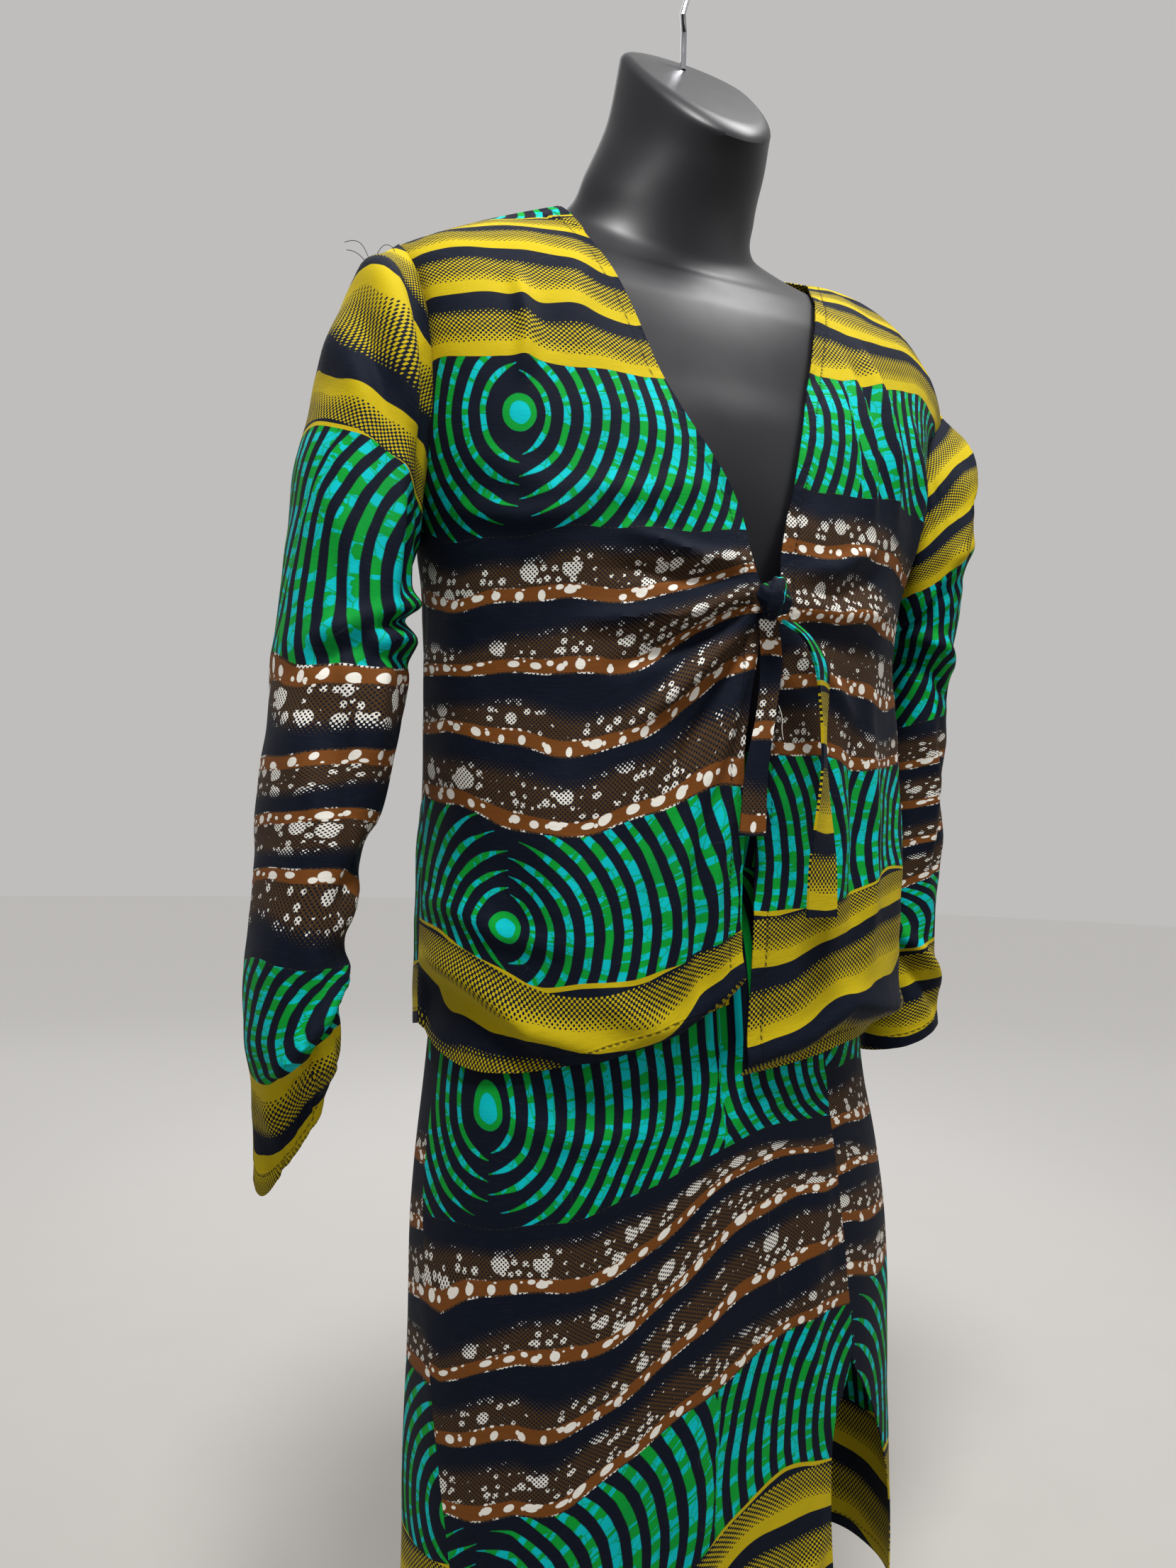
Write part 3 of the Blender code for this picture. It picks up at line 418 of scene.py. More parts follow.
def tableAt(table, key):                 # a table's other columns where its first one has the key
    table, key = np.array(table, float), np.atleast_1d(np.asarray(key, float))
    if table[0, 0] > table[-1, 0]:
        table = table[::-1]
    keys, values = table[:, 0], table[:, 1:]
    order = np.arange(len(keys))
    low, high = np.maximum(order - 1, 0), np.minimum(order + 1, len(keys) - 1)
    slope = (values[high] - values[low]) / (keys[high] - keys[low])[:, None]
    i = np.clip(np.searchsorted(keys, key, side="right") - 1, 0, len(keys) - 2)
    span = (keys[i + 1] - keys[i])[:, None]
    t = np.clip((key - keys[i])[:, None] / span, 0.0, 1.0)
    return ((2 * t**3 - 3 * t**2 + 1) * values[i] + (t**3 - 2 * t**2 + t) * slope[i] * span
            + (3 * t**2 - 2 * t**3) * values[i + 1] + (t**3 - t**2) * slope[i + 1] * span)


def bent(start, startPull, endPull, end, share):     # grid of curves from start to end
    start, startPull, endPull, end = (p[:, None, :] for p in (start, startPull, endPull, end))
    t = share[None, :, None]
    return (start * (1 - t)**3 + startPull * 3 * t * (1 - t)**2
            + endPull * 3 * t * t * (1 - t) + end * t**3)


def ringPoints(section, angle, square=2.0):
    level, shift, half, front, back, slope = (np.asarray(section)[..., i] for i in range(6))
    c, s = np.cos(angle), np.sin(angle)
    power = 2.0 / square
    x = np.sign(c) * np.abs(c)**power * half
    y = np.sign(s) * np.abs(s)**power * np.where(s < 0, front, back)
    return np.stack([shift + x, y, level + slope * y], -1)


formPlan = {
    "segments": 144, "rows": 136, "capRound": 0.009, "footRound": 0.012, "roundRows": 6,
    # level, shift, half width, front, back, slope
    "sections": (
        (0.105, 0.006, 0.0535, 0.07, 0.03, 1),
        (0.062, 0.002, 0.058, 0.06, 0.031, 0.68),
        (0.022, -0.008, 0.0645, 0.049, 0.032, 0.6),
        (-0.004, -0.013, 0.071, 0.046, 0.034, 0.68),
        (-0.016, -0.009, 0.096, 0.049, 0.038, 0.64),
        (-0.027, 0, 0.131, 0.055, 0.042, 0.52),
        (-0.042, 0, 0.163, 0.063, 0.046, 0.4),
        (-0.06, 0, 0.183, 0.071, 0.05, 0.28),
        (-0.09, 0, 0.189, 0.082, 0.054, 0.16),
        (-0.13, 0, 0.185, 0.095, 0.056, 0.06),
        (-0.17, 0, 0.175, 0.109, 0.056, 0),
        (-0.215, 0, 0.162, 0.117, 0.054, 0),
        (-0.26, 0, 0.149, 0.112, 0.05, 0),
        (-0.31, 0, 0.137, 0.098, 0.047, 0),
        (-0.365, 0, 0.127, 0.088, 0.046, 0),
        (-0.43, -0.002, 0.14, 0.094, 0.051, 0),
        (-0.5, -0.004, 0.148, 0.098, 0.055, 0),
        (-0.59, -0.006, 0.148, 0.096, 0.054, 0),
    )}


def formReach(points):                   # how far outside the form, and the way out
    sections = np.array(formPlan["sections"])
    top, foot = sections[0, 0], sections[-1, 0]

    def share(p):
        z = p[:, 2]
        level = z
        for _ in range(3):
            level = z - tableAt(sections, np.minimum(level, top))[:, 4] * p[:, 1]
        row = tableAt(sections, np.clip(level, foot, top))
        depth = np.where(p[:, 1] < 0, row[:, 2], row[:, 3])
        return np.hypot((p[:, 0] - row[:, 0]) / row[:, 1], p[:, 1] / depth)

    here = share(points)
    slope = np.stack([(share(points + np.eye(3)[i] * 5e-4) - share(points - np.eye(3)[i] * 5e-4)) / 1e-3
                      for i in range(3)], -1)
    steep = np.maximum(np.linalg.norm(slope, axis=1), 1.0)[:, None]
    reach = (here - 1.0) / steep[:, 0]
    return np.where(here > 1.1, 1.0, reach), slope / steep


def lifted(grid, clear, kept=None):      # moved out to where cloth can rest on the form
    flat = grid.reshape(-1, 3).copy()
    for _ in range(5):
        reach, way = formReach(flat)
        push = np.maximum(clear - reach, 0.0)
        if kept is not None:
            push = np.where(kept.reshape(-1), 0.0, push)
        flat += way * push[:, None]
    return flat.reshape(grid.shape)


def gridNormals(grid, closed=False, flip=False):
    if closed:
        across = np.roll(grid, -1, 1) - np.roll(grid, 1, 1)
    else:
        across = np.gradient(grid, axis=1)
    along = np.gradient(grid, axis=0)
    normal = np.cross(across, along)
    normal /= np.maximum(np.linalg.norm(normal, axis=2, keepdims=True), 1e-12)
    return -normal if flip else normal


def reachAlong(grid, axis):              # distance run along rows (1) or columns (0)
    step = np.linalg.norm(np.diff(grid, axis=axis), axis=2)
    pad = [(0, 0), (0, 0)]
    pad[axis] = (1, 0)
    return np.pad(np.cumsum(step, axis=axis), pad)


def zeroAt(run, values, level, axis):    # the run, counted from where the values cross a level
    if axis == 0:
        run, values = run.T, values.T
    result = np.empty_like(run)
    for i in range(len(run)):
        order = np.argsort(values[i])
        result[i] = run[i] - np.interp(level, values[i][order], run[i][order])
    return result.T if axis == 0 else result


def eased(x, low, high):
    t = np.clip((x - low) / (high - low), 0.0, 1.0)
    return t * t * (3 - 2 * t)


def foldHeight(x, y, folds):             # height of listed folds over a flat map of the cloth
    height = np.zeros_like(x)
    for width, rise, lean, path in folds:
        path = np.array(path, float)
        best, place, sideways = np.full(x.shape, 9.0), np.zeros_like(x), np.zeros_like(x)
        lengths = np.linalg.norm(np.diff(path, axis=0), axis=1)
        total, gone = lengths.sum(), 0.0
        for start, end, length in zip(path, path[1:], lengths):
            way = (end - start) / length
            along = np.clip((x - start[0]) * way[0] + (y - start[1]) * way[1], 0, length)
            dx, dy = x - start[0] - way[0] * along, y - start[1] - way[1] * along
            away = np.hypot(dx, dy)
            closer = away < best
            best = np.where(closer, away, best)
            place = np.where(closer, (gone + along) / total, place)
            sideways = np.where(closer, way[0] * dy - way[1] * dx, sideways)
            gone += length
        ends = np.sin(np.pi * np.clip(place * 0.92 + 0.04, 0, 1))**0.8
        bell = np.exp(-(best / width)**2)
        height += rise * ends * bell * (1 + lean * np.tanh(sideways / width))
    return height


def ripple(x, y, size, seed):            # soft seeded unevenness, about -1 to 1
    flat = np.stack([x.ravel() / size, y.ravel() / size], -1)
    values = [noise.fractal((a, b, seed * 7.3), 0.8, 2.0, 2) for a, b in flat]
    return np.array(values).reshape(x.shape)


def uneven(x, y, layers, side=0):        # layers: size, seed, height
    return sum(ripple(x, y, size, seed + side) * high for size, seed, high in layers)


def clothPiece(name, grid, uv, edgeReach, material, closed=False, flip=False, wallThick=0.0009):
    rows, columns = grid.shape[:2]
    verts = (grid + np.array((0, 0, neckLevel))).reshape(-1, 3)
    last = columns if closed else columns - 1
    i, j = np.meshgrid(np.arange(rows - 1), np.arange(last), indexing="ij")
    k = (j + 1) % columns
    corners = ((i, j), (i, k), (i + 1, k), (i + 1, j))
    faces = np.stack([row * columns + column for row, column in corners], -1)
    spots = np.stack([np.stack([i, j], -1), np.stack([i, j + 1], -1),
                      np.stack([i + 1, j + 1], -1), np.stack([i + 1, j], -1)], 2)
    if flip:
        faces, spots = faces[..., ::-1], spots[:, :, ::-1]
    mesh = bpy.data.meshes.new(name)
    mesh.from_pydata(verts.tolist(), [], faces.reshape(-1, 4).tolist())
    layer = mesh.uv_layers.new(name="cloth")
    spots = spots.reshape(-1, 2)
    layer.data.foreach_set("uv", uv[spots[:, 0], spots[:, 1]].astype(np.float32).ravel())
    attribute = mesh.attributes.new("edgeReach", "FLOAT", "POINT")
    attribute.data.foreach_set("value", edgeReach.astype(np.float32).ravel())
    piece = placed(name, mesh)
    mesh.materials.append(material)
    pickOnly(piece)
    wall = piece.modifiers.new("wall", "SOLIDIFY")
    wall.thickness, wall.offset, wall.use_even_offset = wallThick, -1.0, False
    bpy.ops.object.modifier_apply(modifier="wall")
    bpy.ops.object.shade_smooth_by_angle(angle=math.radians(55))
    for modifier in list(piece.modifiers):
        bpy.ops.object.modifier_apply(modifier=modifier.name)
    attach(piece, "root")
    return piece


# torso form and its hook

def meshPiece(name, mesh, material, angle=40):
    data = bpy.data.meshes.new(name)
    mesh.to_mesh(data)
    mesh.free()
    data.materials.append(material)
    piece = placed(name, data)
    data.shade_smooth()
    data.set_sharp_from_angle(angle=math.radians(angle))
    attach(piece, "root")
    return piece


def makeForm(plan, material):
    sections = np.array(plan["sections"])
    keys = np.column_stack([np.arange(len(sections)), sections])
    places = steps(plan["rows"] - 1) * (len(sections) - 1)
    levels = tableAt(keys, places)[:, 0]
    rings = np.column_stack([levels, tableAt(sections, levels)])
    cap, foot = rings[0], rings[-1]
    rounded = []
    for angle in steps(plan["roundRows"]) * math.pi / 2:
        inset, rise = plan["capRound"] * (1 - math.sin(angle)), plan["capRound"] * math.cos(angle)
        rounded.append(cap + np.array((rise, 0, -inset, -inset, -inset, 0)))
    under = []
    for angle in steps(plan["roundRows"])[1:] * math.pi / 2:
        inset, drop = plan["footRound"] * (1 - math.cos(angle)), plan["footRound"] * math.sin(angle)
        under.append(foot + np.array((-drop, 0, -inset, -inset, -inset, 0)))
    rings = np.vstack([rounded, rings[1:], under])
    angle = 2 * np.pi * np.arange(plan["segments"]) / plan["segments"]
    mesh = bmesh.new()
    grid = [[mesh.verts.new(Vector(p) + Vector((0, 0, neckLevel)))
             for p in ringPoints(np.tile(row, (len(angle), 1)), angle)] for row in rings]
    for upper, lower in zip(grid, grid[1:]):
        for j in range(len(upper)):
            k = (j + 1) % len(upper)
            mesh.faces.new((lower[j], lower[k], upper[k], upper[j]))
    mesh.faces.new(grid[0])
    mesh.faces.new(grid[-1][::-1])
    form = meshPiece("torsoForm", mesh, material)
    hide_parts("torso_form")


eyeletPlan = {"across": 0.0050, "wire": 0.0012, "hookFoot": 0.012, "over": 0.0004}


def makeEyelet(plan, material):          # the ring that the hook comes out of
    foot = np.array(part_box("hanging_hook")[0])
    bpy.ops.object.select_all(action="DESELECT")
    verts = np.array([v.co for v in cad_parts["hanging_hook"].data.vertices])
    lowest = verts[verts[:, 2] < foot[2] + plan["hookFoot"]].mean(0)
    cap = np.array(formPlan["sections"])[0]
    level = cap[0] + neckLevel + cap[5] * lowest[1] + plan["over"]
    bpy.ops.mesh.primitive_torus_add(major_segments=40, minor_segments=12, major_radius=plan["across"],
                                     minor_radius=plan["wire"], location=(lowest[0], lowest[1], level),
                                     rotation=(math.atan(cap[5]), 0, 0))
    ring = bpy.context.active_object
    ring.name = "hookEyelet"
    bpy.ops.object.transform_apply(location=True, rotation=True, scale=True)
    bpy.ops.object.shade_smooth()
    ring.data.materials.append(material)
    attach(ring, "root")


# jacket

jacketPlan = {
    "underarm": 0.525, "rowsBelow": 11, "rowsAbove": 14, "rowsClosing": 1.25, "fine": 7,
    "frontStrips": 12, "neckStrips": 4, "shoulderStrips": 6,
    "backNeck": (0.022, 0.046, 0.010), "backNeckShare": 0.42, "neckHollow": (0.015, 0.004),
    "shoulderBulge": 0.006, "bulgeRise": 0.6, "clear": 0.0020, "foldClear": 0.002,
    "overSkirt": 0.0052, "overSkirtFrom": (0.40, 0.46),
    # unevenness: size, seed, height
    "frontUneven": ((0.060, 2, 0.0016), (0.022, 5, 0.0005)), "sleeveUneven": ((0.045, 9, 0.0022),),
    "backUneven": ((0.070, 21, 0.0022), (0.025, 22, 0.0005)),
    "sleeveWave": 0.06, "sleeveFade": 0.012, "backFade": (-0.02, 0.03),
    # up, inner edge x y z, outer edge x y z, reach, swell, spread, wrap, sag, dip
    "frontRight": (
        (0, -0.01, -0.116, -0.533, -0.172, 0.01, -0.552, 0.09, 0.006, 0.004, 0.096, -0.014, -0.058),
        (0.042, -0.01, -0.119, -0.522, -0.173, 0.01, -0.53, 0.095, 0.01, 0.006, 0.096, -0.012, -0.036),
        (0.107, -0.011, -0.121, -0.492, -0.173, 0.01, -0.494, 0.095, 0.008, 0.004, 0.092, -0.008, -0.014),
        (0.22, -0.012, -0.122, -0.43, -0.173, 0.01, -0.43, 0.095, 0.004, 0, 0.085, 0, 0),
        (0.32, -0.013, -0.123, -0.372, -0.173, 0.009, -0.37, 0.095, 0.004, 0, 0.082, 0, 0),
        (0.415, -0.008, -0.126, -0.318, -0.175, 0.006, -0.312, 0.095, 0.004, 0, 0.08, 0.004, 0.004),
        (0.483, -0.007, -0.131, -0.282, -0.18, 0.002, -0.27, 0.095, 0, 0, 0.08, 0.004, 0.004),
        (0.525, -0.014, -0.128, -0.258, -0.186, -0.004, -0.244, 0.095, 0.004, 0, 0.075, 0, 0),
        (0.583, -0.02, -0.12, -0.222, -0.192, -0.026, -0.212, 0.09, 0.012, 0, 0.05, 0, 0),
        (0.695, -0.056, -0.102, -0.158, -0.192, -0.04, -0.16, 0.06, 0.014, 0, 0.036, 0.002, 0.002),
        (0.795, -0.073, -0.078, -0.1, -0.194, -0.034, -0.112, 0.045, 0.012, -0.002, 0.03, 0.004, 0.004),
        (0.872, -0.084, -0.052, -0.056, -0.197, -0.02, -0.08, 0.04, 0.008, -0.006, 0.022, 0.006, 0.008),
        (0.93, -0.0875, -0.025, -0.027, -0.199, -0.005, -0.062, 0.04, 0.004, -0.012, 0.01, 0.002, 0.01),
        (1, -0.0885, 0.01, 0.0022, -0.2, 0.01, -0.05, 0.042, 0, -0.03, 0, 0.001, 0.001),
    ),
    "frontLeft": (
        (0, -0.003, -0.114, -0.574, 0.177, 0.01, -0.552, -0.09, 0.002, -0.004, 0.084, 0, 0),
        (0.042, -0.003, -0.117, -0.552, 0.181, 0.01, -0.534, -0.095, 0.008, -0.008, 0.088, 0.002, 0),
        (0.107, -0.001, -0.118, -0.512, 0.182, 0.01, -0.5, -0.095, 0.008, -0.004, 0.088, 0, 0),
        (0.22, 0.001, -0.117, -0.44, 0.179, 0.01, -0.434, -0.095, 0.004, 0, 0.085, 0, 0),
        (0.32, 0.002, -0.118, -0.375, 0.173, 0.009, -0.372, -0.095, 0.004, 0, 0.08, 0, 0),
        (0.415, 0.004, -0.121, -0.318, 0.169, 0.006, -0.314, -0.095, 0.004, 0, 0.076, 0, 0),
        (0.483, 0.008, -0.126, -0.28, 0.172, 0.002, -0.272, -0.095, 0, 0, 0.074, 0, 0),
        (0.525, 0.011, -0.122, -0.252, 0.18, -0.002, -0.248, -0.09, 0.004, 0, 0.068, 0, 0),
        (0.583, 0.018, -0.119, -0.219, 0.192, -0.014, -0.206, -0.08, 0.01, 0, 0.05, 0, 0),
        (0.672, 0.034, -0.107, -0.166, 0.201, -0.018, -0.164, -0.07, 0.014, 0, 0.04, 0.002, 0.002),
        (0.768, 0.056, -0.084, -0.112, 0.212, -0.016, -0.13, -0.055, 0.014, 0.004, 0.032, 0.006, 0.006),
        (0.862, 0.076, -0.06, -0.066, 0.228, -0.01, -0.112, -0.05, 0.008, 0.01, 0.022, 0.012, 0.022),
        (0.925, 0.094, -0.03, -0.038, 0.24, -0.003, -0.1, -0.045, 0.004, 0.016, 0.01, 0.024, 0.034),
        (1, 0.117, 0.006, -0.012, 0.247, 0.006, -0.089, -0.042, 0, 0.02, 0, 0.031, 0.041),
    ),
    # up, middle x y z, reach, spread, wrap, sag, dip
    "backHalf": (
        (0, 0.002, 0.096, -0.566, 0.085, 0.004, 0.06, -0.004, -0.006),
        (0.042, 0.002, 0.096, -0.542, 0.085, 0.004, 0.062, -0.002, -0.002),
        (0.107, 0.002, 0.095, -0.5, 0.085, 0.002, 0.062, 0, 0),
        (0.22, 0.002, 0.09, -0.43, 0.085, 0, 0.06, 0, 0),
        (0.32, 0.003, 0.084, -0.37, 0.085, 0, 0.055, 0, 0),
        (0.415, 0.004, 0.08, -0.314, 0.085, 0, 0.052, 0, 0),
        (0.483, 0.005, 0.078, -0.272, 0.085, 0, 0.052, 0, 0),
        (0.525, 0.006, 0.077, -0.246, 0.085, 0, 0.054, 0, 0),
        (0.593, 0.008, 0.075, -0.204, 0.08, 0, 0.034, 0, 0),
        (0.695, 0.012, 0.072, -0.14, 0.08, 0, 0.02, 0, 0),
        (0.805, 0.016, 0.067, -0.076, 0.07, 0.002, 0.02, 0.004, 0.006),
        (0.9, 0.02, 0.06, -0.03, 0.06, 0.008, 0.014, 0.008, 0.012),
    ),
    # up, x, y, z
    "armholeRight": (
        (0.593, -0.192, 0.024, -0.208),
        (0.695, -0.193, 0.044, -0.152),
        (0.805, -0.195, 0.04, -0.098),
        (0.9, -0.198, 0.028, -0.07),
    ),
    "armholeLeft": (
        (0.593, 0.192, 0.024, -0.208),
        (0.695, 0.204, 0.042, -0.164),
        (0.805, 0.218, 0.038, -0.126),
        (0.9, 0.232, 0.026, -0.106),
    ),
    # down, outer x z, inner x z, middle y, half depth
    "sleeveRight": (
        (0.05, -0.224, -0.073, -0.192, -0.257, -0.004, 0.06),
        (0.12, -0.243, -0.112, -0.196, -0.269, -0.006, 0.064),
        (0.22, -0.26, -0.18, -0.199, -0.284, -0.012, 0.064),
        (0.32, -0.269, -0.242, -0.2, -0.304, -0.018, 0.06),
        (0.42, -0.275, -0.304, -0.201, -0.334, -0.024, 0.056),
        (0.52, -0.281, -0.364, -0.208, -0.376, -0.03, 0.054),
        (0.64, -0.287, -0.424, -0.221, -0.422, -0.036, 0.051),
        (0.76, -0.29, -0.48, -0.24, -0.474, -0.042, 0.048),
        (0.88, -0.291, -0.535, -0.242, -0.522, -0.046, 0.045),
        (1, -0.284, -0.625, -0.243, -0.572, -0.048, 0.043),
    ),
    "sleeveLeft": (
        (0.05, 0.249, -0.114, 0.186, -0.262, 0, 0.058),
        (0.12, 0.25, -0.144, 0.19, -0.275, 0.005, 0.06),
        (0.22, 0.249, -0.195, 0.192, -0.291, 0.012, 0.059),
        (0.32, 0.25, -0.252, 0.191, -0.312, 0.02, 0.056),
        (0.42, 0.252, -0.312, 0.188, -0.342, 0.026, 0.053),
        (0.52, 0.25, -0.37, 0.187, -0.384, 0.031, 0.052),
        (0.64, 0.254, -0.432, 0.189, -0.434, 0.034, 0.05),
        (0.76, 0.255, -0.488, 0.191, -0.486, 0.034, 0.047),
        (0.88, 0.259, -0.532, 0.194, -0.534, 0.032, 0.044),
        (1, 0.26, -0.566, 0.197, -0.592, 0.03, 0.042),
    ),
    "sleeveRows": 20,
}
seam = np.array((0, 0.0003, 0))


def frontCurves(side, up, across):
    row = tableAt(jacketPlan["frontRight" if side < 0 else "frontLeft"], up)
    inner, outer = row[:, 0:3], row[:, 3:6]
    reach, swell, spread, wrap, sag, dip = row[:, 6:].T
    rise = (outer[:, 2] - inner[:, 2]) / 3
    return bent(inner, inner + np.stack([-reach, -swell, rise + sag], -1),
                outer + np.stack([-spread, -wrap, dip - rise], -1), outer, across)


def backEdge(side, up):
    under, armhole = jacketPlan["underarm"], jacketPlan["armholeRight" if side < 0 else "armholeLeft"]
    low = frontCurves(side, np.minimum(up, under), np.array([1.0]))[:, 0] + seam
    corner = frontCurves(side, [under], np.array([1.0]))[0, 0] + seam
    return np.where((up <= under)[:, None], low, tableAt([(under, *corner)] + list(armhole), up))


def backCurves(side, up, across):
    row = tableAt(jacketPlan["backHalf"], up)
    middle, edge = row[:, 0:3], backEdge(side, up)
    reach, spread, wrap, sag, dip = row[:, 3:].T
    rise = (edge[:, 2] - middle[:, 2]) / 3
    zero = np.zeros_like(reach)
    return bent(middle, middle + np.stack([side * reach, zero, rise + sag], -1),
                edge + np.stack([side * spread, wrap, dip - rise], -1), edge, across)


def jacketRows():
    fine, under = jacketPlan["fine"], jacketPlan["underarm"]
    below = under * steps(jacketPlan["rowsBelow"] * fine)[:-1]
    above = 1 - (1 - under) * (1 - steps(jacketPlan["rowsAbove"] * fine))**jacketPlan["rowsClosing"]
    return np.concatenate([below, above])


def frontGrid(side):
    grid = frontCurves(side, jacketRows(), steps(jacketPlan["frontStrips"] * jacketPlan["fine"]))
    return lifted(grid, jacketPlan["clear"])


def backHalfGrid(side, front):
    plan, fine = jacketPlan, jacketPlan["fine"]
    share = plan["backNeckShare"]
    necks, shoulders = plan["neckStrips"] * fine, plan["shoulderStrips"] * fine
    across = np.concatenate([share * steps(necks)[:-1], share + (1 - share) * steps(shoulders)])
    up = jacketRows()
    topKey = plan["backHalf"][-1][0]
    grid = backCurves(side, np.minimum(up, topKey), across)
    below = backCurves(side, np.array([topKey]), across)[0]
    neck = steps(necks)[:-1, None]
    corner = frontCurves(side, [1.0], np.array([0.0]))[0, 0] + seam
    top = np.array(plan["backNeck"]) * (1 - neck) + corner * neck
    top = top + np.array((0, *plan["neckHollow"])) * 4 * neck * (1 - neck)
    top = np.vstack([top, frontCurves(side, [1.0], steps(shoulders))[0] + seam])
    for i in np.nonzero(up > topKey)[0]:
        t = (up[i] - topKey) / (1 - topKey)
        bulge = math.sin(math.pi * t) * plan["shoulderBulge"]
        grid[i] = below * (1 - t) + top * t + np.array((0, bulge, bulge * plan["bulgeRise"]))
    grid[-1, necks:] = front[-1, ::2] + seam               # the back has half as many strips there
    kept = np.zeros(grid.shape[:2], bool)
    kept[-1, necks:] = True
    return lifted(grid, plan["clear"], kept)


def sleeveGrid(side, front, back):
    plan, fine = jacketPlan, jacketPlan["fine"]
    under = plan["rowsBelow"] * fine
    top = len(front) - 1
    armhole = np.vstack([front[top:under - 1:-1, -1], back[under + 1:top, -1]])
    count = len(armhole)
    table = np.array(plan["sleeveRight" if side < 0 else "sleeveLeft"])
    down, outerX, outerZ, innerX, innerZ, midY, depth = table.T
    outer = np.stack([outerX, midY, outerZ], -1)
    inner = np.stack([innerX, midY, innerZ], -1)
    grid = np.empty((plan["sleeveRows"] * fine + 1, count, 3))
    for j in range(count):
        angle = 2 * math.pi * j / count
        line = (outer + inner) / 2 + (outer - inner) / 2 * math.cos(angle)
        line[:, 1] -= depth * math.sin(angle)
        rows = np.column_stack([np.concatenate([[0.0], down]), np.vstack([armhole[j], line])])
        grid[:, j] = tableAt(rows, steps(plan["sleeveRows"] * fine))
    away = grid[1] - grid[0]
    grid[0] += away / np.linalg.norm(away, axis=1, keepdims=True) * seam[1]
    return grid


# the right cuff is twisted shut about one upright line
# rows: height, share of its size that is left, turn in degrees
cuffPlan = {"line": (-0.280, -0.024), "from": -0.560, "longer": 0.24,
            "rows": ((-0.552, 1.00, 0), (-0.560, 0.96, 2), (-0.567, 0.80, 8), (-0.585, 0.64, 16),
                     (-0.598, 0.48, 22), (-0.612, 0.34, 28), (-0.640, 0.22, 32))}


def twistedCuff(grid):
    rows = np.array(cuffPlan["rows"])[::-1]
    share, turn = (np.interp(grid[..., 2], rows[:, 0], rows[:, i]) for i in (1, 2))
    turn = np.radians(turn)
    away = grid[..., :2] - np.array(cuffPlan["line"])
    x = away[..., 0] * np.cos(turn) - away[..., 1] * np.sin(turn)
    y = away[..., 0] * np.sin(turn) + away[..., 1] * np.cos(turn)
    result = grid.copy()
    result[..., :2] = np.array(cuffPlan["line"]) + np.stack([x, y], -1) * share[..., None]
    result[..., 2] += np.minimum(grid[..., 2] - cuffPlan["from"], 0) * cuffPlan["longer"]
    return result


def clearOfSkirt(grid):                  # the jacket hangs outside the skirt, also where its hem leans in
    sections, power = np.array(skirtPlan["sections"]), skirtPlan["square"]
    level = np.clip(grid[..., 2].ravel(), sections[-1, 0], sections[0, 0])
    row = tableAt(sections, level).reshape(*grid.shape[:2], -1)
    middle = np.stack([row[..., 0], np.zeros(grid.shape[:2])], -1)
    away = grid[..., :2] - middle
    depth = np.where(away[..., 1] < 0, row[..., 2], row[..., 3])
    x, y = np.abs(away[..., 0]) / row[..., 1], np.abs(away[..., 1]) / depth
    share = (x**power + y**power)**(1 / power)
    clear = jacketPlan["overSkirt"] * eased(-grid[..., 2], *jacketPlan["overSkirtFrom"])
    least = 1 + clear / (np.linalg.norm(away, axis=2) / share)
    grow = np.where(clear > 0, np.maximum(least / share, 1.0), 1.0)
    result = grid.copy()
    result[..., :2] = middle + away * grow[..., None]
    return result


def sewnFade(grid, sewn, reach=0.010):   # folds die away at the sewn sides
    run, rise = reachAlong(grid, 1), reachAlong(grid, 0)
    away = {"firstColumn": run, "lastColumn": run[:, -1:] - run, "lastRow": rise[-1:] - rise}
    fade = np.ones(grid.shape[:2])
    for side in sewn:
        fade *= eased(away[side], 0, reach)
    return fade


def pulled(x, z, pulls):                 # how far the print is drawn out of place
    across, down = np.zeros_like(x), np.zeros_like(x)
    for px, pz, reachX, reachZ, dx, ds in pulls:
        near = np.exp(-((x - px) / reachX)**2 - ((z - pz) / reachZ)**2)
        across, down = across + dx * near, down + ds * near
    return across, down


def panelUv(grid, plan):
    # the print is laid from an upright line (crossing) and from one level, where it has run to start
    way, crossing = np.sign(grid[0, -1, 0] - grid[0, 0, 0]), plan["crossing"]
    u = zeroAt(reachAlong(grid, 1), grid[..., 0], crossing, 1) * way + crossing - plan["centre"]
    v = zeroAt(reachAlong(grid, 0), grid[..., 2], plan["level"], 0)
    across, down = pulled(grid[..., 0], grid[..., 2], plan["pulls"])
    return np.stack([u + across, v - plan["start"] - down], -1)


# pulls: place x and z, reach across and down, then how far the print is drawn across and up there
frontPrint = {
    "right": {"crossing": -0.120, "level": -0.178, "centre": -0.157, "start": 0.193, "pulls": (
        (-0.010, -0.305, 0.055, 0.045, 0.0, 0.030), (-0.005, -0.360, 0.065, 0.060, 0.0, 0.032),
        (-0.215, -0.385, 0.050, 0.050, 0.0, 0.026), (-0.215, -0.505, 0.060, 0.045, 0.0, 0.058),
        (0.010, -0.515, 0.070, 0.055, 0.0, 0.052))},
    "left": {"crossing": 0.080, "level": -0.240, "centre": -0.070, "start": 0.303, "pulls": (
        (0.080, -0.120, 0.10, 0.050, 0.0, -0.014), (0.060, -0.510, 0.050, 0.060, 0.0, 0.018),
        (0.150, -0.490, 0.060, 0.070, 0.0, 0.048))},
    "back": {"crossing": 0.0, "level": -0.176, "centre": -0.03, "start": 0.193},
    "sleeveShare": 0.9, "sleeveStart": 0.02,
}


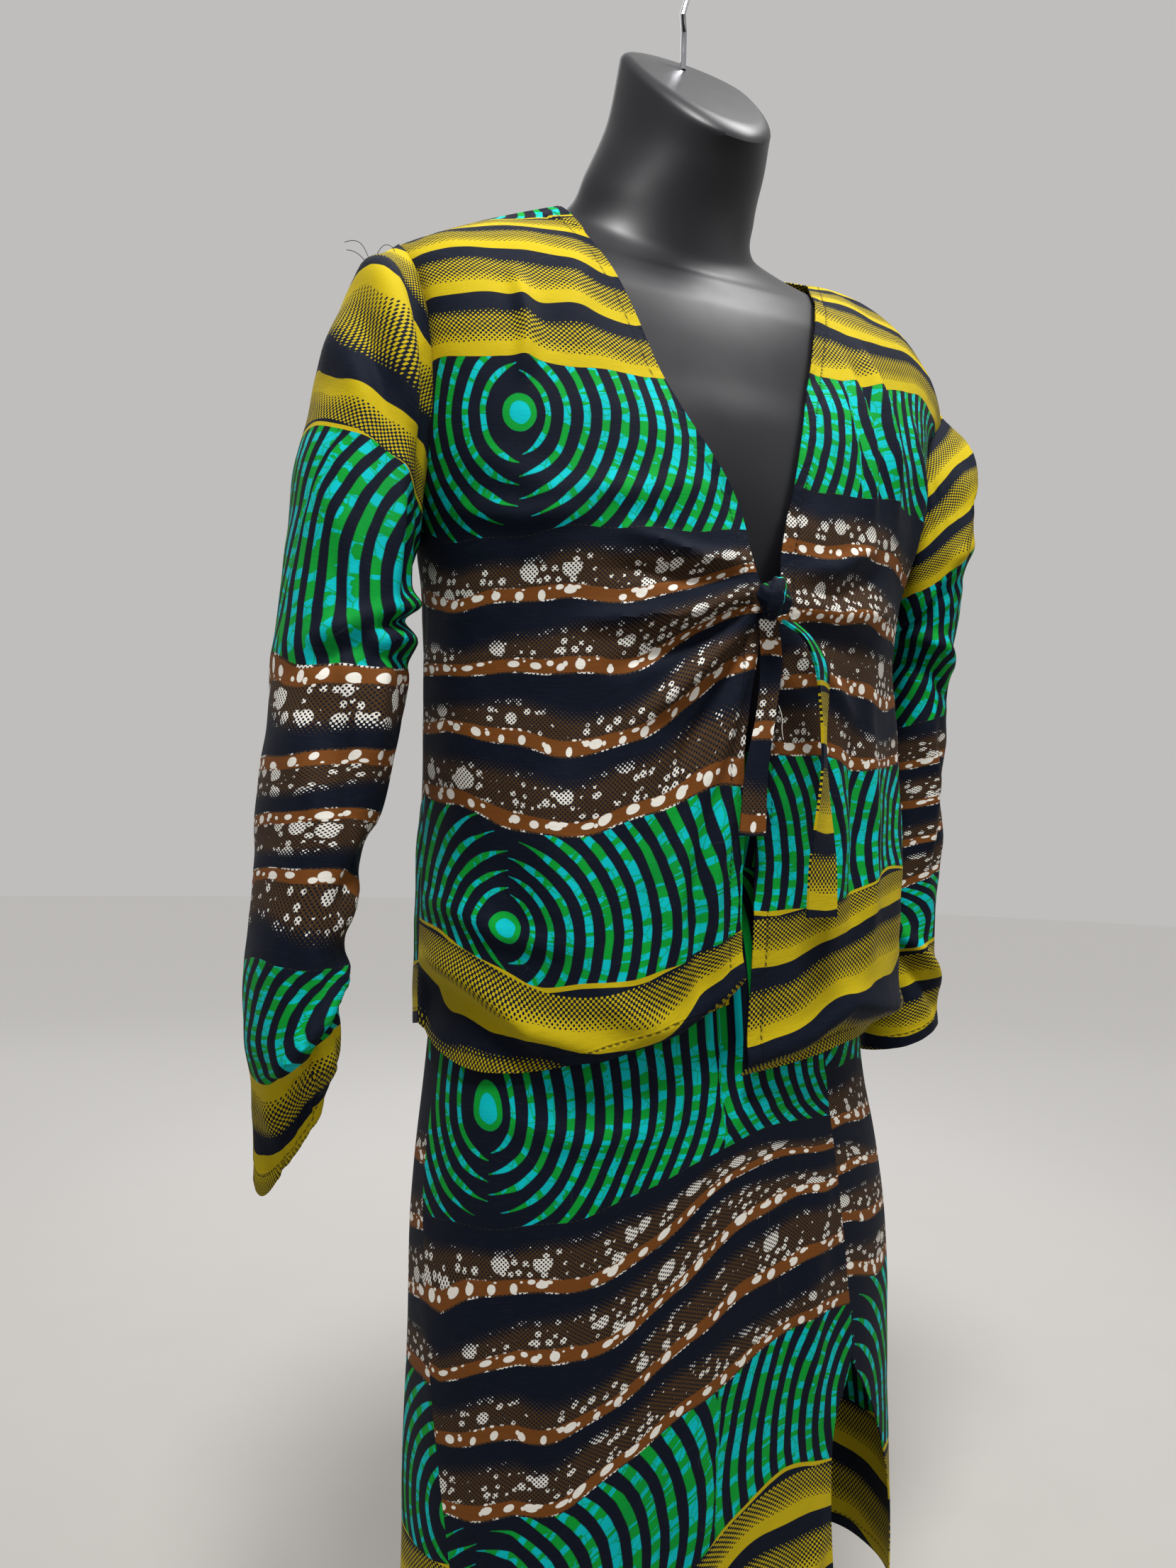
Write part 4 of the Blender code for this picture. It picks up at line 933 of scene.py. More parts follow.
def faced(normals):                      # 1 where the cloth faces the front, 0 behind
    return eased(-normals[..., 1], -0.15, 0.25)


# folds: width, height, lean, then the path as x and height below the neck point
jacketFolds = {
    "right": (
        (0.006, 0.0060, 0.7, ((-0.150, -0.080), (-0.148, -0.125), (-0.153, -0.160))),
        (0.012, 0.0044, 0.0, ((-0.100, -0.045), (-0.115, -0.090), (-0.120, -0.140))),
        (0.010, 0.0034, 0.4, ((-0.180, -0.200), (-0.135, -0.226), (-0.085, -0.224), (-0.040, -0.215))),
        (0.007, 0.0040, 0.4, ((-0.180, -0.232), (-0.150, -0.240), (-0.110, -0.238))),
        (0.005, 0.0058, 0.5, ((-0.018, -0.258), (-0.050, -0.258), (-0.095, -0.245))),
        (0.005, -0.0058, 0.0, ((-0.018, -0.267), (-0.055, -0.272), (-0.105, -0.268))),
        (0.006, 0.0078, 0.4, ((-0.017, -0.278), (-0.058, -0.292), (-0.120, -0.300))),
        (0.005, -0.0061, 0.0, ((-0.016, -0.286), (-0.050, -0.307), (-0.098, -0.328))),
        (0.006, 0.0075, -0.3, ((-0.014, -0.294), (-0.044, -0.323), (-0.085, -0.362))),
        (0.005, -0.0051, 0.0, ((-0.013, -0.300), (-0.035, -0.340), (-0.062, -0.392))),
        (0.006, 0.0058, 0.3, ((-0.011, -0.306), (-0.025, -0.350), (-0.044, -0.410))),
        (0.006, 0.0051, 0.3, ((-0.026, -0.400), (-0.034, -0.465), (-0.026, -0.530))),
        (0.007, 0.0044, 0.0, ((-0.048, -0.410), (-0.057, -0.470), (-0.050, -0.530))),
        (0.005, -0.0041, 0.0, ((-0.037, -0.405), (-0.046, -0.468), (-0.038, -0.530))),
        (0.014, 0.0068, 0.4, ((-0.165, -0.250), (-0.170, -0.330), (-0.166, -0.420))),
        (0.008, -0.0051, 0.0, ((-0.188, -0.290), (-0.190, -0.360), (-0.184, -0.430))),
        (0.012, 0.0051, 0.3, ((-0.120, -0.370), (-0.128, -0.430), (-0.118, -0.500))),
        (0.010, -0.0037, 0.0, ((-0.145, -0.400), (-0.150, -0.450), (-0.142, -0.510))),
        (0.007, 0.0051, 0.5, ((-0.175, -0.470), (-0.150, -0.490), (-0.118, -0.496))),
        (0.008, 0.0051, 0.4, ((-0.100, -0.520), (-0.086, -0.535), (-0.060, -0.540))),
    ),
    "left": (
        (0.007, 0.0075, 0.7, ((0.106, -0.085), (0.112, -0.140), (0.118, -0.210))),
        (0.006, 0.0050, 0.4, ((0.085, -0.100), (0.092, -0.160), (0.088, -0.220))),
        (0.005, -0.0040, 0.0, ((0.096, -0.100), (0.101, -0.160), (0.100, -0.215))),
        (0.008, 0.0060, 0.5, ((0.150, -0.130), (0.158, -0.180), (0.152, -0.235))),
        (0.006, 0.0050, 0.3, ((0.020, -0.262), (0.055, -0.255), (0.100, -0.232))),
        (0.006, -0.0044, 0.0, ((0.020, -0.272), (0.058, -0.268), (0.105, -0.250))),
        (0.007, 0.0058, 0.2, ((0.019, -0.282), (0.060, -0.283), (0.115, -0.276))),
        (0.006, -0.0040, 0.0, ((0.018, -0.292), (0.055, -0.300), (0.100, -0.305))),
        (0.007, 0.0050, 0.3, ((0.016, -0.300), (0.045, -0.322), (0.080, -0.350))),
        (0.008, 0.0050, 0.3, ((0.060, -0.360), (0.066, -0.430), (0.058, -0.500))),
        (0.006, -0.0040, 0.0, ((0.080, -0.350), (0.086, -0.430), (0.080, -0.500))),
        (0.008, 0.0046, 0.0, ((0.098, -0.330), (0.108, -0.420), (0.100, -0.510))),
        (0.010, 0.0060, 0.3, ((0.140, -0.300), (0.150, -0.400), (0.142, -0.500))),
    ),
    "sleeveRight": (
        (0.009, 0.0075, 0.6, ((-0.230, -0.070), (-0.222, -0.130), (-0.214, -0.200))),
        (0.007, -0.0085, 0.0, ((-0.209, -0.095), (-0.205, -0.160), (-0.202, -0.235))),
        (0.008, 0.0050, 0.4, ((-0.252, -0.090), (-0.250, -0.140), (-0.240, -0.185))),
        (0.006, -0.0040, 0.0, ((-0.240, -0.100), (-0.236, -0.150), (-0.228, -0.195))),
        (0.012, 0.0035, 0.0, ((-0.262, -0.200), (-0.255, -0.240), (-0.245, -0.275))),
        (0.006, 0.0060, 0.5, ((-0.222, -0.205), (-0.225, -0.255), (-0.226, -0.300))),
        (0.006, -0.0045, 0.0, ((-0.212, -0.230), (-0.213, -0.265), (-0.214, -0.290))),
        (0.005, 0.0070, 0.3, ((-0.196, -0.284), (-0.210, -0.294), (-0.230, -0.304))),
        (0.005, -0.0068, 0.0, ((-0.197, -0.297), (-0.214, -0.305), (-0.236, -0.313))),
        (0.006, 0.0060, 0.3, ((-0.198, -0.313), (-0.216, -0.314), (-0.242, -0.320))),
        (0.005, -0.0045, 0.0, ((-0.200, -0.328), (-0.216, -0.326), (-0.236, -0.330))),
        (0.006, 0.0050, 0.0, ((-0.268, -0.322), (-0.248, -0.310), (-0.228, -0.303))),
        (0.005, -0.0040, 0.0, ((-0.268, -0.336), (-0.252, -0.326), (-0.236, -0.320))),
        (0.006, 0.0045, 0.4, ((-0.226, -0.315), (-0.232, -0.345), (-0.234, -0.390))),
        (0.010, 0.0040, 0.3, ((-0.275, -0.350), (-0.268, -0.400), (-0.262, -0.450))),
        (0.006, -0.0040, 0.0, ((-0.252, -0.350), (-0.250, -0.395), (-0.245, -0.440))),
        (0.006, -0.0060, 0.3, ((-0.222, -0.425), (-0.236, -0.442), (-0.252, -0.466))),
        (0.006, 0.0055, 0.4, ((-0.220, -0.440), (-0.238, -0.460), (-0.256, -0.486))),
        (0.006, 0.0085, 0.9, ((-0.243, -0.498), (-0.262, -0.530), (-0.284, -0.564))),
        (0.007, -0.0085, 0.0, ((-0.245, -0.514), (-0.262, -0.546), (-0.281, -0.582))),
        (0.005, 0.0055, 0.2, ((-0.280, -0.560), (-0.276, -0.590), (-0.268, -0.612))),
        (0.006, -0.0050, 0.2, ((-0.250, -0.575), (-0.262, -0.585), (-0.272, -0.600))),
    ),
    "sleeveLeft": (
        (0.007, 0.0030, 0.5, ((0.194, -0.168), (0.215, -0.164), (0.234, -0.150))),
        (0.006, -0.0030, 0.0, ((0.194, -0.186), (0.215, -0.182), (0.236, -0.170))),
        (0.007, 0.0034, 0.4, ((0.194, -0.222), (0.216, -0.216), (0.238, -0.200))),
        (0.006, -0.0030, 0.0, ((0.192, -0.244), (0.216, -0.238), (0.238, -0.224))),
        (0.006, 0.0070, 0.4, ((0.190, -0.272), (0.215, -0.282), (0.238, -0.298))),
        (0.006, -0.0060, 0.0, ((0.190, -0.292), (0.215, -0.302), (0.234, -0.320))),
        (0.009, 0.0060, 0.3, ((0.205, -0.320), (0.225, -0.380), (0.222, -0.450))),
        (0.006, -0.0050, 0.0, ((0.226, -0.340), (0.236, -0.400), (0.232, -0.460))),
        (0.008, 0.0050, 0.3, ((0.240, -0.330), (0.248, -0.400), (0.243, -0.470))),
        (0.006, 0.0070, 0.7, ((0.198, -0.490), (0.222, -0.515), (0.250, -0.545))),
        (0.006, -0.0065, 0.0, ((0.198, -0.508), (0.222, -0.536), (0.246, -0.560))),
    ),
    "back": (
        (0.010, 0.0040, 0.3, ((0.140, -0.070), (0.120, -0.130), (0.130, -0.200))),
        (0.010, 0.0036, 0.3, ((-0.145, -0.070), (-0.128, -0.140), (-0.140, -0.220))),
        (0.008, -0.0030, 0.0, ((0.118, -0.080), (0.100, -0.140), (0.108, -0.190))),
        (0.008, -0.0028, 0.0, ((-0.125, -0.080), (-0.106, -0.135), (-0.118, -0.200))),
        (0.012, 0.0036, 0.4, ((-0.120, -0.235), (-0.050, -0.262), (0.020, -0.255), (0.090, -0.238))),
        (0.010, -0.0030, 0.0, ((-0.125, -0.262), (-0.055, -0.290), (0.010, -0.286), (0.080, -0.270))),
        (0.012, 0.0040, 0.4, ((0.130, -0.260), (0.075, -0.300), (0.000, -0.325), (-0.070, -0.320))),
        (0.009, -0.0026, 0.0, ((0.125, -0.300), (0.070, -0.335), (0.010, -0.352))),
        (0.012, 0.0044, 0.3, ((-0.060, -0.350), (-0.070, -0.430), (-0.062, -0.520))),
        (0.010, -0.0034, 0.0, ((-0.030, -0.370), (-0.036, -0.440), (-0.030, -0.520))),
        (0.012, 0.0040, 0.3, ((0.045, -0.360), (0.055, -0.440), (0.046, -0.530))),
        (0.010, -0.0030, 0.0, ((0.080, -0.380), (0.088, -0.450), (0.080, -0.520))),
        (0.011, 0.0034, 0.4, ((-0.130, -0.330), (-0.120, -0.410), (-0.128, -0.500))),
        (0.011, 0.0034, 0.3, ((0.130, -0.360), (0.122, -0.430), (0.130, -0.510))),
    ),
    "backSleeve": (
        (0.007, 0.0060, 0.4, ((0.196, -0.290), (0.215, -0.300), (0.240, -0.312))),
        (0.006, -0.0060, 0.0, ((0.198, -0.306), (0.217, -0.314), (0.240, -0.326))),
        (0.008, 0.0055, 0.4, ((0.200, -0.330), (0.220, -0.332), (0.246, -0.340))),
        (0.010, 0.0045, 0.3, ((0.215, -0.110), (0.222, -0.160), (0.216, -0.220))),
        (0.008, -0.0045, 0.0, ((0.238, -0.130), (0.244, -0.190), (0.238, -0.250))),
        (0.009, 0.0045, 0.3, ((0.232, -0.380), (0.242, -0.430), (0.248, -0.490))),
    ),
}
hemPlan = {"rightRidge": ((-0.190, -0.490), (-0.172, -0.510), (-0.137, -0.545), (-0.097, -0.556),
                          (-0.050, -0.540), (-0.006, -0.508)),
           "leftRidge": ((-0.004, -0.566), (0.044, -0.552), (0.083, -0.534), (0.120, -0.540),
                         (0.180, -0.545)),
           "turnIn": 0.55, "roll": 0.0050}


def curledHem(grid, normals, ridge):     # below the ridge the hem leans inward, and the ridge swells
    ridge = np.array(ridge)
    line = np.interp(grid[..., 0], ridge[:, 0], ridge[:, 1])
    below = np.maximum(line - grid[..., 2], 0.0)
    swell = np.exp(-((grid[..., 2] - line) / 0.010)**2) * hemPlan["roll"]
    return (swell - below * hemPlan["turnIn"]) * faced(normals)


def declare(node, key):           # hides the part that the piece stands for; key, its cut, is not used
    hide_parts(node)


def makeFront(side, word, front, material):
    plan, uv = jacketPlan, panelUv(front, frontPrint[word])
    reach = np.minimum(reachAlong(front, 1), reachAlong(front, 0))
    normals = gridNormals(front, flip=side < 0)
    x, z = front[..., 0], front[..., 2]
    height = uneven(x, z, plan["frontUneven"], side)
    height = height + foldHeight(x, z, jacketFolds[word])
    height = height + curledHem(front, normals, hemPlan[word + "Ridge"])
    height = height * sewnFade(front, ("lastColumn", "lastRow"))
    shaped = clearOfSkirt(lifted(front + normals * height[..., None], plan["clear"] + plan["foldClear"]))
    piece = clothPiece("jacketFront" + word.capitalize(), shaped, uv, reach, material,
                       flip=side < 0)
    declare("jacket_front_" + word, "front" + word.capitalize())


def makeSleeve(side, word, sleeve, material):
    plan, prints = jacketPlan, sleevePrint[word]
    sleeve = np.roll(sleeve, sleeve.shape[1] // 2, 1)      # so that it closes at the underarm seam
    loop = np.concatenate([sleeve, sleeve[:, :1]], 1)
    around, down = reachAlong(loop, 1), reachAlong(loop, 0)
    girth = around[:, -1:]
    x, z = loop[..., 0], loop[..., 2]
    rows = np.array(prints["rows"])
    slant = np.interp(-z, -rows[:, 0], rows[:, 2])
    run = np.interp(-(z + slant * (x - prints["middle"])), -rows[:, 0], rows[:, 1])
    uv = np.stack([(girth - around) * frontPrint["sleeveShare"] + frontPrint["sleeveStart"], -run], -1)
    if side < 0:
        sleeve = twistedCuff(sleeve)
    normals = gridNormals(sleeve, closed=True, flip=side < 0)   # outward
    x, z = sleeve[..., 0], sleeve[..., 2]
    around, down = around[:, :-1], down[:, :-1]
    wave = -np.cos(2 * np.pi * around / girth) * plan["sleeveWave"]
    height = uneven(wave, down, plan["sleeveUneven"], side)
    height = height + foldHeight(x, z, jacketFolds["sleeve" + word.capitalize()]) * faced(normals)
    height = height + foldHeight(np.abs(x), z, jacketFolds["backSleeve"]) * faced(-normals)
    height = height * eased(down, 0, plan["sleeveFade"])
    sleeve = sleeve + normals * height[..., None]
    piece = clothPiece("sleeve" + word.capitalize(), sleeve, uv, down[-1:] - down, material,
                       closed=True, flip=side > 0)
    declare("sleeve_" + word, "sleeve" + word.capitalize())
    return sleeve


def makeBack(left, right, material):
    plan, prints = jacketPlan, frontPrint["back"]
    grid = np.concatenate([left[:, :0:-1], (left[:, :1] + right[:, :1]) / 2, right[:, 1:]], 1)
    x, z = grid[..., 0], grid[..., 2]
    u = zeroAt(reachAlong(grid, 1), -x, prints["crossing"], 1) - prints["centre"]
    v = zeroAt(reachAlong(grid, 0), z, prints["level"], 0) - prints["start"]
    uv = np.stack([u, v], -1)
    height = uneven(x, z, plan["backUneven"]) + foldHeight(x, z, jacketFolds["back"])
    top, within = plan["backFade"]
    height = height * sewnFade(grid, ("firstColumn", "lastColumn")) * eased(top - z, 0, within)
    kept = np.zeros(grid.shape[:2], bool)
    kept[-1] = True
    shaped = clearOfSkirt(lifted(grid + gridNormals(grid) * height[..., None], plan["clear"], kept))
    piece = clothPiece("jacketBack", shaped, uv, reachAlong(grid, 0), material)
    declare("jacket_back", "back")


def makeJacket(material):                # gives the sleeves' shapes, for the threads on them
    halves, sleeves = {}, {}
    for side, word in ((-1, "right"), (1, "left")):
        front = frontGrid(side)
        back = backHalfGrid(side, front)
        halves[word] = back
        makeFront(side, word, front, material)
        sleeves[word] = makeSleeve(side, word, sleeveGrid(side, front, back), material)
    makeBack(halves["left"], halves["right"], material)
    return sleeves


# height below the neck, how far down the print it is, and the bands' slope.
# the right sleeve's cloth is laid the other way up, so its bands have the plain edge on top
sleevePrint = {
    "right": {"middle": -0.240, "rows": (
        (-0.020, 0.125, 0.7), (-0.085, 0.072, 0.8), (-0.165, 0.029, 0.85), (-0.210, -0.008, 0.8),
        (-0.340, -0.109, 0.0), (-0.390, -0.1535, 0.0), (-0.421, -0.198, 0.0), (-0.455, -0.2425, 0.0),
        (-0.503, -0.281, 0.0), (-0.536, -0.387, -0.4), (-0.572, -0.430, -0.6), (-0.612, -0.473, -0.7),
        (-0.660, -0.520, -0.7))},
    "left": {"middle": 0.220, "rows": (
        (-0.020, -0.070, -0.7), (-0.100, 0.000, -1.0), (-0.160, 0.080, -1.1), (-0.215, 0.158, -1.1),
        (-0.335, 0.264, -0.4), (-0.460, 0.442, -0.3), (-0.500, 0.530, -0.4), (-0.590, 0.640, -0.4))},
}


# skirt

skirtPlan = {
    "square": 2.4, "slitTop": -0.768, "strips": 112, "rows": 136,
    # how the bands run: more slowly and not past a ring where the jacket hides them, down to the left
    # at the sides, up to the left in front, and in a shallow V at the right seam
    "hiddenScale": 0.6, "hiddenLeast": 0.170, "leftSide": (-0.02, 0.10), "sideFrom": -0.60,
    "sideMost": 0.11, "sideBack": 0.25, "sideBackFrom": -0.71, "riseAcross": (-0.13, 0.06),
    "riseDown": (0.54, 0.66),
    "veePlace": -0.168, "veeHalf": 0.035, "veeDown": (0.68, 0.73),
    "uneven": ((0.080, 31, 0.0014),), "foldsFrom": -0.50, "foldsWithin": 0.04, "sewnReach": 0.014,
    "print": {"front": {"crossing": -0.150, "across": 0.0, "start": 0.193, "level": -0.596, "scale": 1.07,
                        "sideRun": 0.0, "rise": 0.100, "vee": 0.018, "flat": (0.31, 0.60), "area": 0.165,
                        "folds": (
                  (0.008, 0.0030, 0.3, ((-0.150, -0.600), (-0.100, -0.612), (-0.050, -0.606))),
                  (0.010, 0.0026, 0.3, ((0.040, -0.580), (0.000, -0.600), (-0.050, -0.640))),
                  (0.012, 0.0032, 0.4, ((0.070, -0.640), (0.058, -0.720), (0.066, -0.810))),
                  (0.014, 0.0030, 0.3, ((-0.020, -0.700), (-0.028, -0.800), (-0.018, -0.920))),
                  (0.012, 0.0026, 0.3, ((-0.110, -0.660), (-0.118, -0.760), (-0.108, -0.860))),
                  (0.010, 0.0036, 0.6, ((0.095, -0.850), (0.060, -0.900), (0.020, -0.925))))},
              "back": {"crossing": 0.0, "across": 0.04, "start": 0.288, "level": -0.615, "scale": 1.0,
                       "sideRun": 0.35, "rise": 0.015, "vee": 0.0, "flat": (0.58, 0.61), "area": 0.31,
                       "folds": (
                  (0.014, 0.0036, 0.3, ((-0.100, -0.640), (-0.092, -0.740), (-0.100, -0.860))),
                  (0.014, 0.0034, 0.3, ((0.030, -0.660), (0.038, -0.760), (0.030, -0.880))),
                  (0.010, 0.0030, 0.3, ((-0.090, -0.585), (-0.020, -0.600), (0.050, -0.592))),
                  (0.010, 0.0026, 0.3, ((0.100, -0.600), (0.040, -0.632), (-0.020, -0.640))),
                  (0.012, 0.0030, 0.3, ((-0.030, -0.720), (-0.038, -0.820), (-0.030, -0.920))))}},
    # level, shift, half width, front, back, slit front edge, slit back edge, turn of the right seam
    "sections": (
        (-0.372, 0, 0.1322, 0.0912, 0.049, 0.56, 0.56, 2),
        (-0.43, -0.003, 0.144, 0.099, 0.056, 0.55, 0.55, 2),
        (-0.5, -0.006, 0.153, 0.103, 0.061, 0.53, 0.53, 2),
        (-0.575, -0.009, 0.157, 0.106, 0.067, 0.52, 0.52, 3),
        (-0.65, -0.004, 0.169, 0.107, 0.07, 0.52, 0.52, 4),
        (-0.71, 0, 0.174, 0.106, 0.072, 0.54, 0.54, 8),
        (-0.768, 0.002, 0.1765, 0.105, 0.074, 0.56, 0.56, 13),
        (-0.81, 0.0035, 0.1775, 0.1045, 0.075, 0.46, 0.7, 17),
        (-0.86, 0.005, 0.1785, 0.104, 0.076, 0.44, 0.82, 22),
        (-0.91, 0.0065, 0.179, 0.104, 0.077, 0.45, 0.9, 26),
        (-0.955, 0.008, 0.179, 0.104, 0.078, 0.46, 0.94, 30),
    )}


def skirtGrid(isFront):
    plan = skirtPlan
    table = np.array(plan["sections"])
    level = table[-1, 0] + (table[0, 0] - table[-1, 0]) * steps(plan["rows"])
    row = tableAt(table, level)
    slitFront, slitBack = row[:, 4], np.where(level > plan["slitTop"], row[:, 4], row[:, 5])
    edge = -np.arccos((slitFront if isFront else slitBack)**(plan["square"] / 2))
    side = np.radians(row[:, 6]) - np.pi + (0 if isFront else 2 * np.pi)
    angle = edge[:, None] + (side - edge)[:, None] * steps(plan["strips"])
    section = np.column_stack([level, row[:, :4], np.zeros(len(level))])[:, None, :]
    grid = ringPoints(np.broadcast_to(section, (len(level), angle.shape[1], 6)), angle, plan["square"])
    return grid[:, ::-1] if isFront else grid


def makeSkirt(material):
    whole = skirtPlan
    for name, isFront in (("skirtFront", True), ("skirtBack", False)):
        grid = skirtGrid(isFront)
        plan = whole["print"]["front" if isFront else "back"]
        x, z = grid[..., 0], grid[..., 2]
        u = zeroAt(reachAlong(grid, 1), x * (1 if isFront else -1), plan["crossing"], 1)
        side = 0.0 if isFront else eased(x, *whole["leftSide"])
        sideRun = plan["sideRun"] * np.minimum(whole["sideFrom"] - z, whole["sideMost"])
        sideRun = sideRun - whole["sideBack"] * np.maximum(whole["sideBackFrom"] - z, 0)
        scale = np.where(z > plan["level"], whole["hiddenScale"], plan["scale"])
        run = plan["start"] + (plan["level"] - z) * scale + side * sideRun
        run = run + plan["rise"] * eased(x, *whole["riseAcross"]) * eased(-z, *whole["riseDown"])
        run = np.maximum(run, whole["hiddenLeast"]) if isFront else run
        vee = np.maximum(1 - np.abs(x - whole["veePlace"]) / whole["veeHalf"], 0)
        run = run - plan["vee"] * vee * eased(-z, *whole["veeDown"])
        normals = gridNormals(grid)
        outward = np.sign(normals[..., 1].mean()) * (-1 if isFront else 1)
        height = uneven(x, z, whole["uneven"], isFront) + foldHeight(x, z, plan["folds"])
        height = height * eased(whole["foldsFrom"] - z, 0, whole["foldsWithin"])
        height = height * sewnFade(grid, ("firstColumn", "lastColumn"), whole["sewnReach"])
        shaped = grid + normals * (height * outward)[..., None]
        piece = clothPiece(name, shaped, np.stack([u + plan["across"], -run], -1), reachAlong(grid, 0),
                           material)
        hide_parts("skirt_front" if isFront else "skirt_back")


# ties and knot

tiePlan = {
    # x, y, z, half width, twist
    "long": (
        (0.004, -0.1425, -0.2945, 0.007, 20),
        (0.018, -0.144, -0.304, 0.0095, 35),
        (0.029, -0.143, -0.32, 0.009, 30),
        (0.0335, -0.14, -0.34, 0.0085, 38),
        (0.035, -0.139, -0.362, 0.0075, 46),
        (0.036, -0.139, -0.384, 0.008, 44),
        (0.0365, -0.1385, -0.412, 0.0105, 30),
        (0.0365, -0.1385, -0.44, 0.012, 14),
        (0.036, -0.139, -0.474, 0.0125, 8),
    ),
    "short": (
        (-0.008, -0.1385, -0.2943, 0.006, -10),
        (-0.002, -0.133, -0.32, 0.0065, -30),
        (-0.0035, -0.131, -0.35, 0.006, -35),
        (-0.0085, -0.13, -0.385, 0.007, -20),
        (-0.0105, -0.13, -0.425, 0.0085, -10),
    ),
    "rows": 90, "strips": 17, "wall": 0.0018, "printShare": 0.88,
    # rows of points, node, place across the print, place down it, flat size
    "pieces": {"tieLong": ("long", "tie_end_long", 0.05, 0.122, (0.020, 0.20)),
               "tieShort": ("short", "tie_end_short", 0.03, 0.402, (0.018, 0.14))},
}


def tieGrid(rows, count, strips):
    table = np.column_stack([np.arange(len(rows)), rows])
    points = tableAt(table, steps(count) * (len(rows) - 1))
    turn = np.radians(points[:, 4])
    across = np.stack([np.cos(turn), np.sin(turn), np.zeros_like(turn)], -1) * points[:, 3:4]
    return (points[:, None, :3] + across[:, None] * np.linspace(-1, 1, strips)[None, :, None])[::-1]


def makeTies(plan, material):
    for name, (key, node, across, start, flat) in plan["pieces"].items():
        grid = tieGrid(plan[key], plan["rows"], plan["strips"])
        uv = np.stack([reachAlong(grid, 1) + across, reachAlong(grid, 0) * plan["printShare"] - start], -1)
        piece = clothPiece(name, grid, uv, np.full(grid.shape[:2], 1.0), material,
                           wallThick=plan["wall"])
        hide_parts(node)


knotPlan = {
    "place": (-0.007, -0.1425, -0.2820), "radii": (0.0120, 0.0102, 0.0128), "rows": 44, "columns": 72,
    "printSize": (0.012, 0.006), "printPlace": (0.06, -0.268), "edgePrint": (-0.258, 0.004),
    "edgeAt": 0.80, "edgeHalf": 0.13, "crease": 0.030, "creases": 5.5, "creaseSway": 1.6, "wrinkle": 0.012,
    # each wrap: the way its axis points, half width, height, wrinkles
    "core": 0.84, "wraps": (((0.35, -0.25, 0.90), 0.50, 0.13, 9), ((0.90, -0.30, -0.25), 0.40, 0.22, 7)),
}


def makeKnot(plan, material):            # two turns of the tie round its own core
    up = (steps(plan["rows"] - 1) - 0.5) * math.pi
    turn = 2 * math.pi * steps(plan["columns"])[:-1]
    way = np.stack([np.cos(up)[:, None] * np.cos(turn), np.cos(up)[:, None] * np.sin(turn),
                    np.sin(up)[:, None] * np.ones_like(turn)], -1)
    reach = np.full(way.shape[:2], plan["core"])
    uv = way[..., ::2] * np.array(plan["printSize"]) + np.array(plan["printPlace"])
    for axis, half, rise, wrinkles in plan["wraps"]:
        axis = np.array(axis) / np.linalg.norm(axis)
        first = np.cross(axis, (0.0, 1.0, 0.3))
        first /= np.linalg.norm(first)
        second = np.cross(axis, first)
        off = way @ axis
        bend = np.arctan2(way @ second, way @ first)
        band = np.exp(-(off / half)**4)
        sway = np.sin(bend * 2) * plan["creaseSway"]
        crease = plan["crease"] * np.sin(off / half * plan["creases"] + sway)
        crease = crease + plan["wrinkle"] * np.sin(bend * wrinkles + off * 6)
        here = plan["core"] + rise + crease
        reach = np.maximum(reach, here * band + reach * (1 - band))
        edge = np.abs(np.abs(off) - half * plan["edgeAt"]) < half * plan["edgeHalf"]
        level, wave = plan["edgePrint"]
        uv[..., 1] = np.where(edge & (off > 0), level - wave * np.abs(np.sin(bend)), uv[..., 1])
    grid = np.array(plan["place"]) + way * reach[..., None] * np.array(plan["radii"])
    mesh = bmesh.new()
    layer = mesh.loops.layers.uv.new("cloth")
    rings = [[mesh.verts.new(tuple(p + np.array((0, 0, neckLevel)))) for p in ring] for ring in grid[1:-1]]
    poles = [mesh.verts.new(tuple(grid[i, 0] + np.array((0, 0, neckLevel)))) for i in (0, -1)]
    count = plan["columns"]
    for i in range(len(rings) - 1):
        for j in range(count):
            k = (j + 1) % count
            face = mesh.faces.new((rings[i][j], rings[i][k], rings[i + 1][k], rings[i + 1][j]))
            for loop, spot in zip(face.loops, ((i, j), (i, k), (i + 1, k), (i + 1, j))):
                loop[layer].uv = uv[spot[0] + 1, spot[1]]
    for ring, pole, row, ends in ((rings[0], poles[0], 1, False), (rings[-1], poles[1], -2, True)):
        for j in range(count):
            k = (j + 1) % count
            face = mesh.faces.new((ring[j], ring[k], pole) if ends else (ring[k], ring[j], pole))
            for loop in face.loops:
                loop[layer].uv = uv[row, j]
    piece = meshPiece("tieKnot", mesh, material, angle=60)
    attribute = piece.data.attributes.new("edgeReach", "FLOAT", "POINT")
    attribute.data.foreach_set("value", [1.0] * len(piece.data.vertices))
    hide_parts("tie_knot")


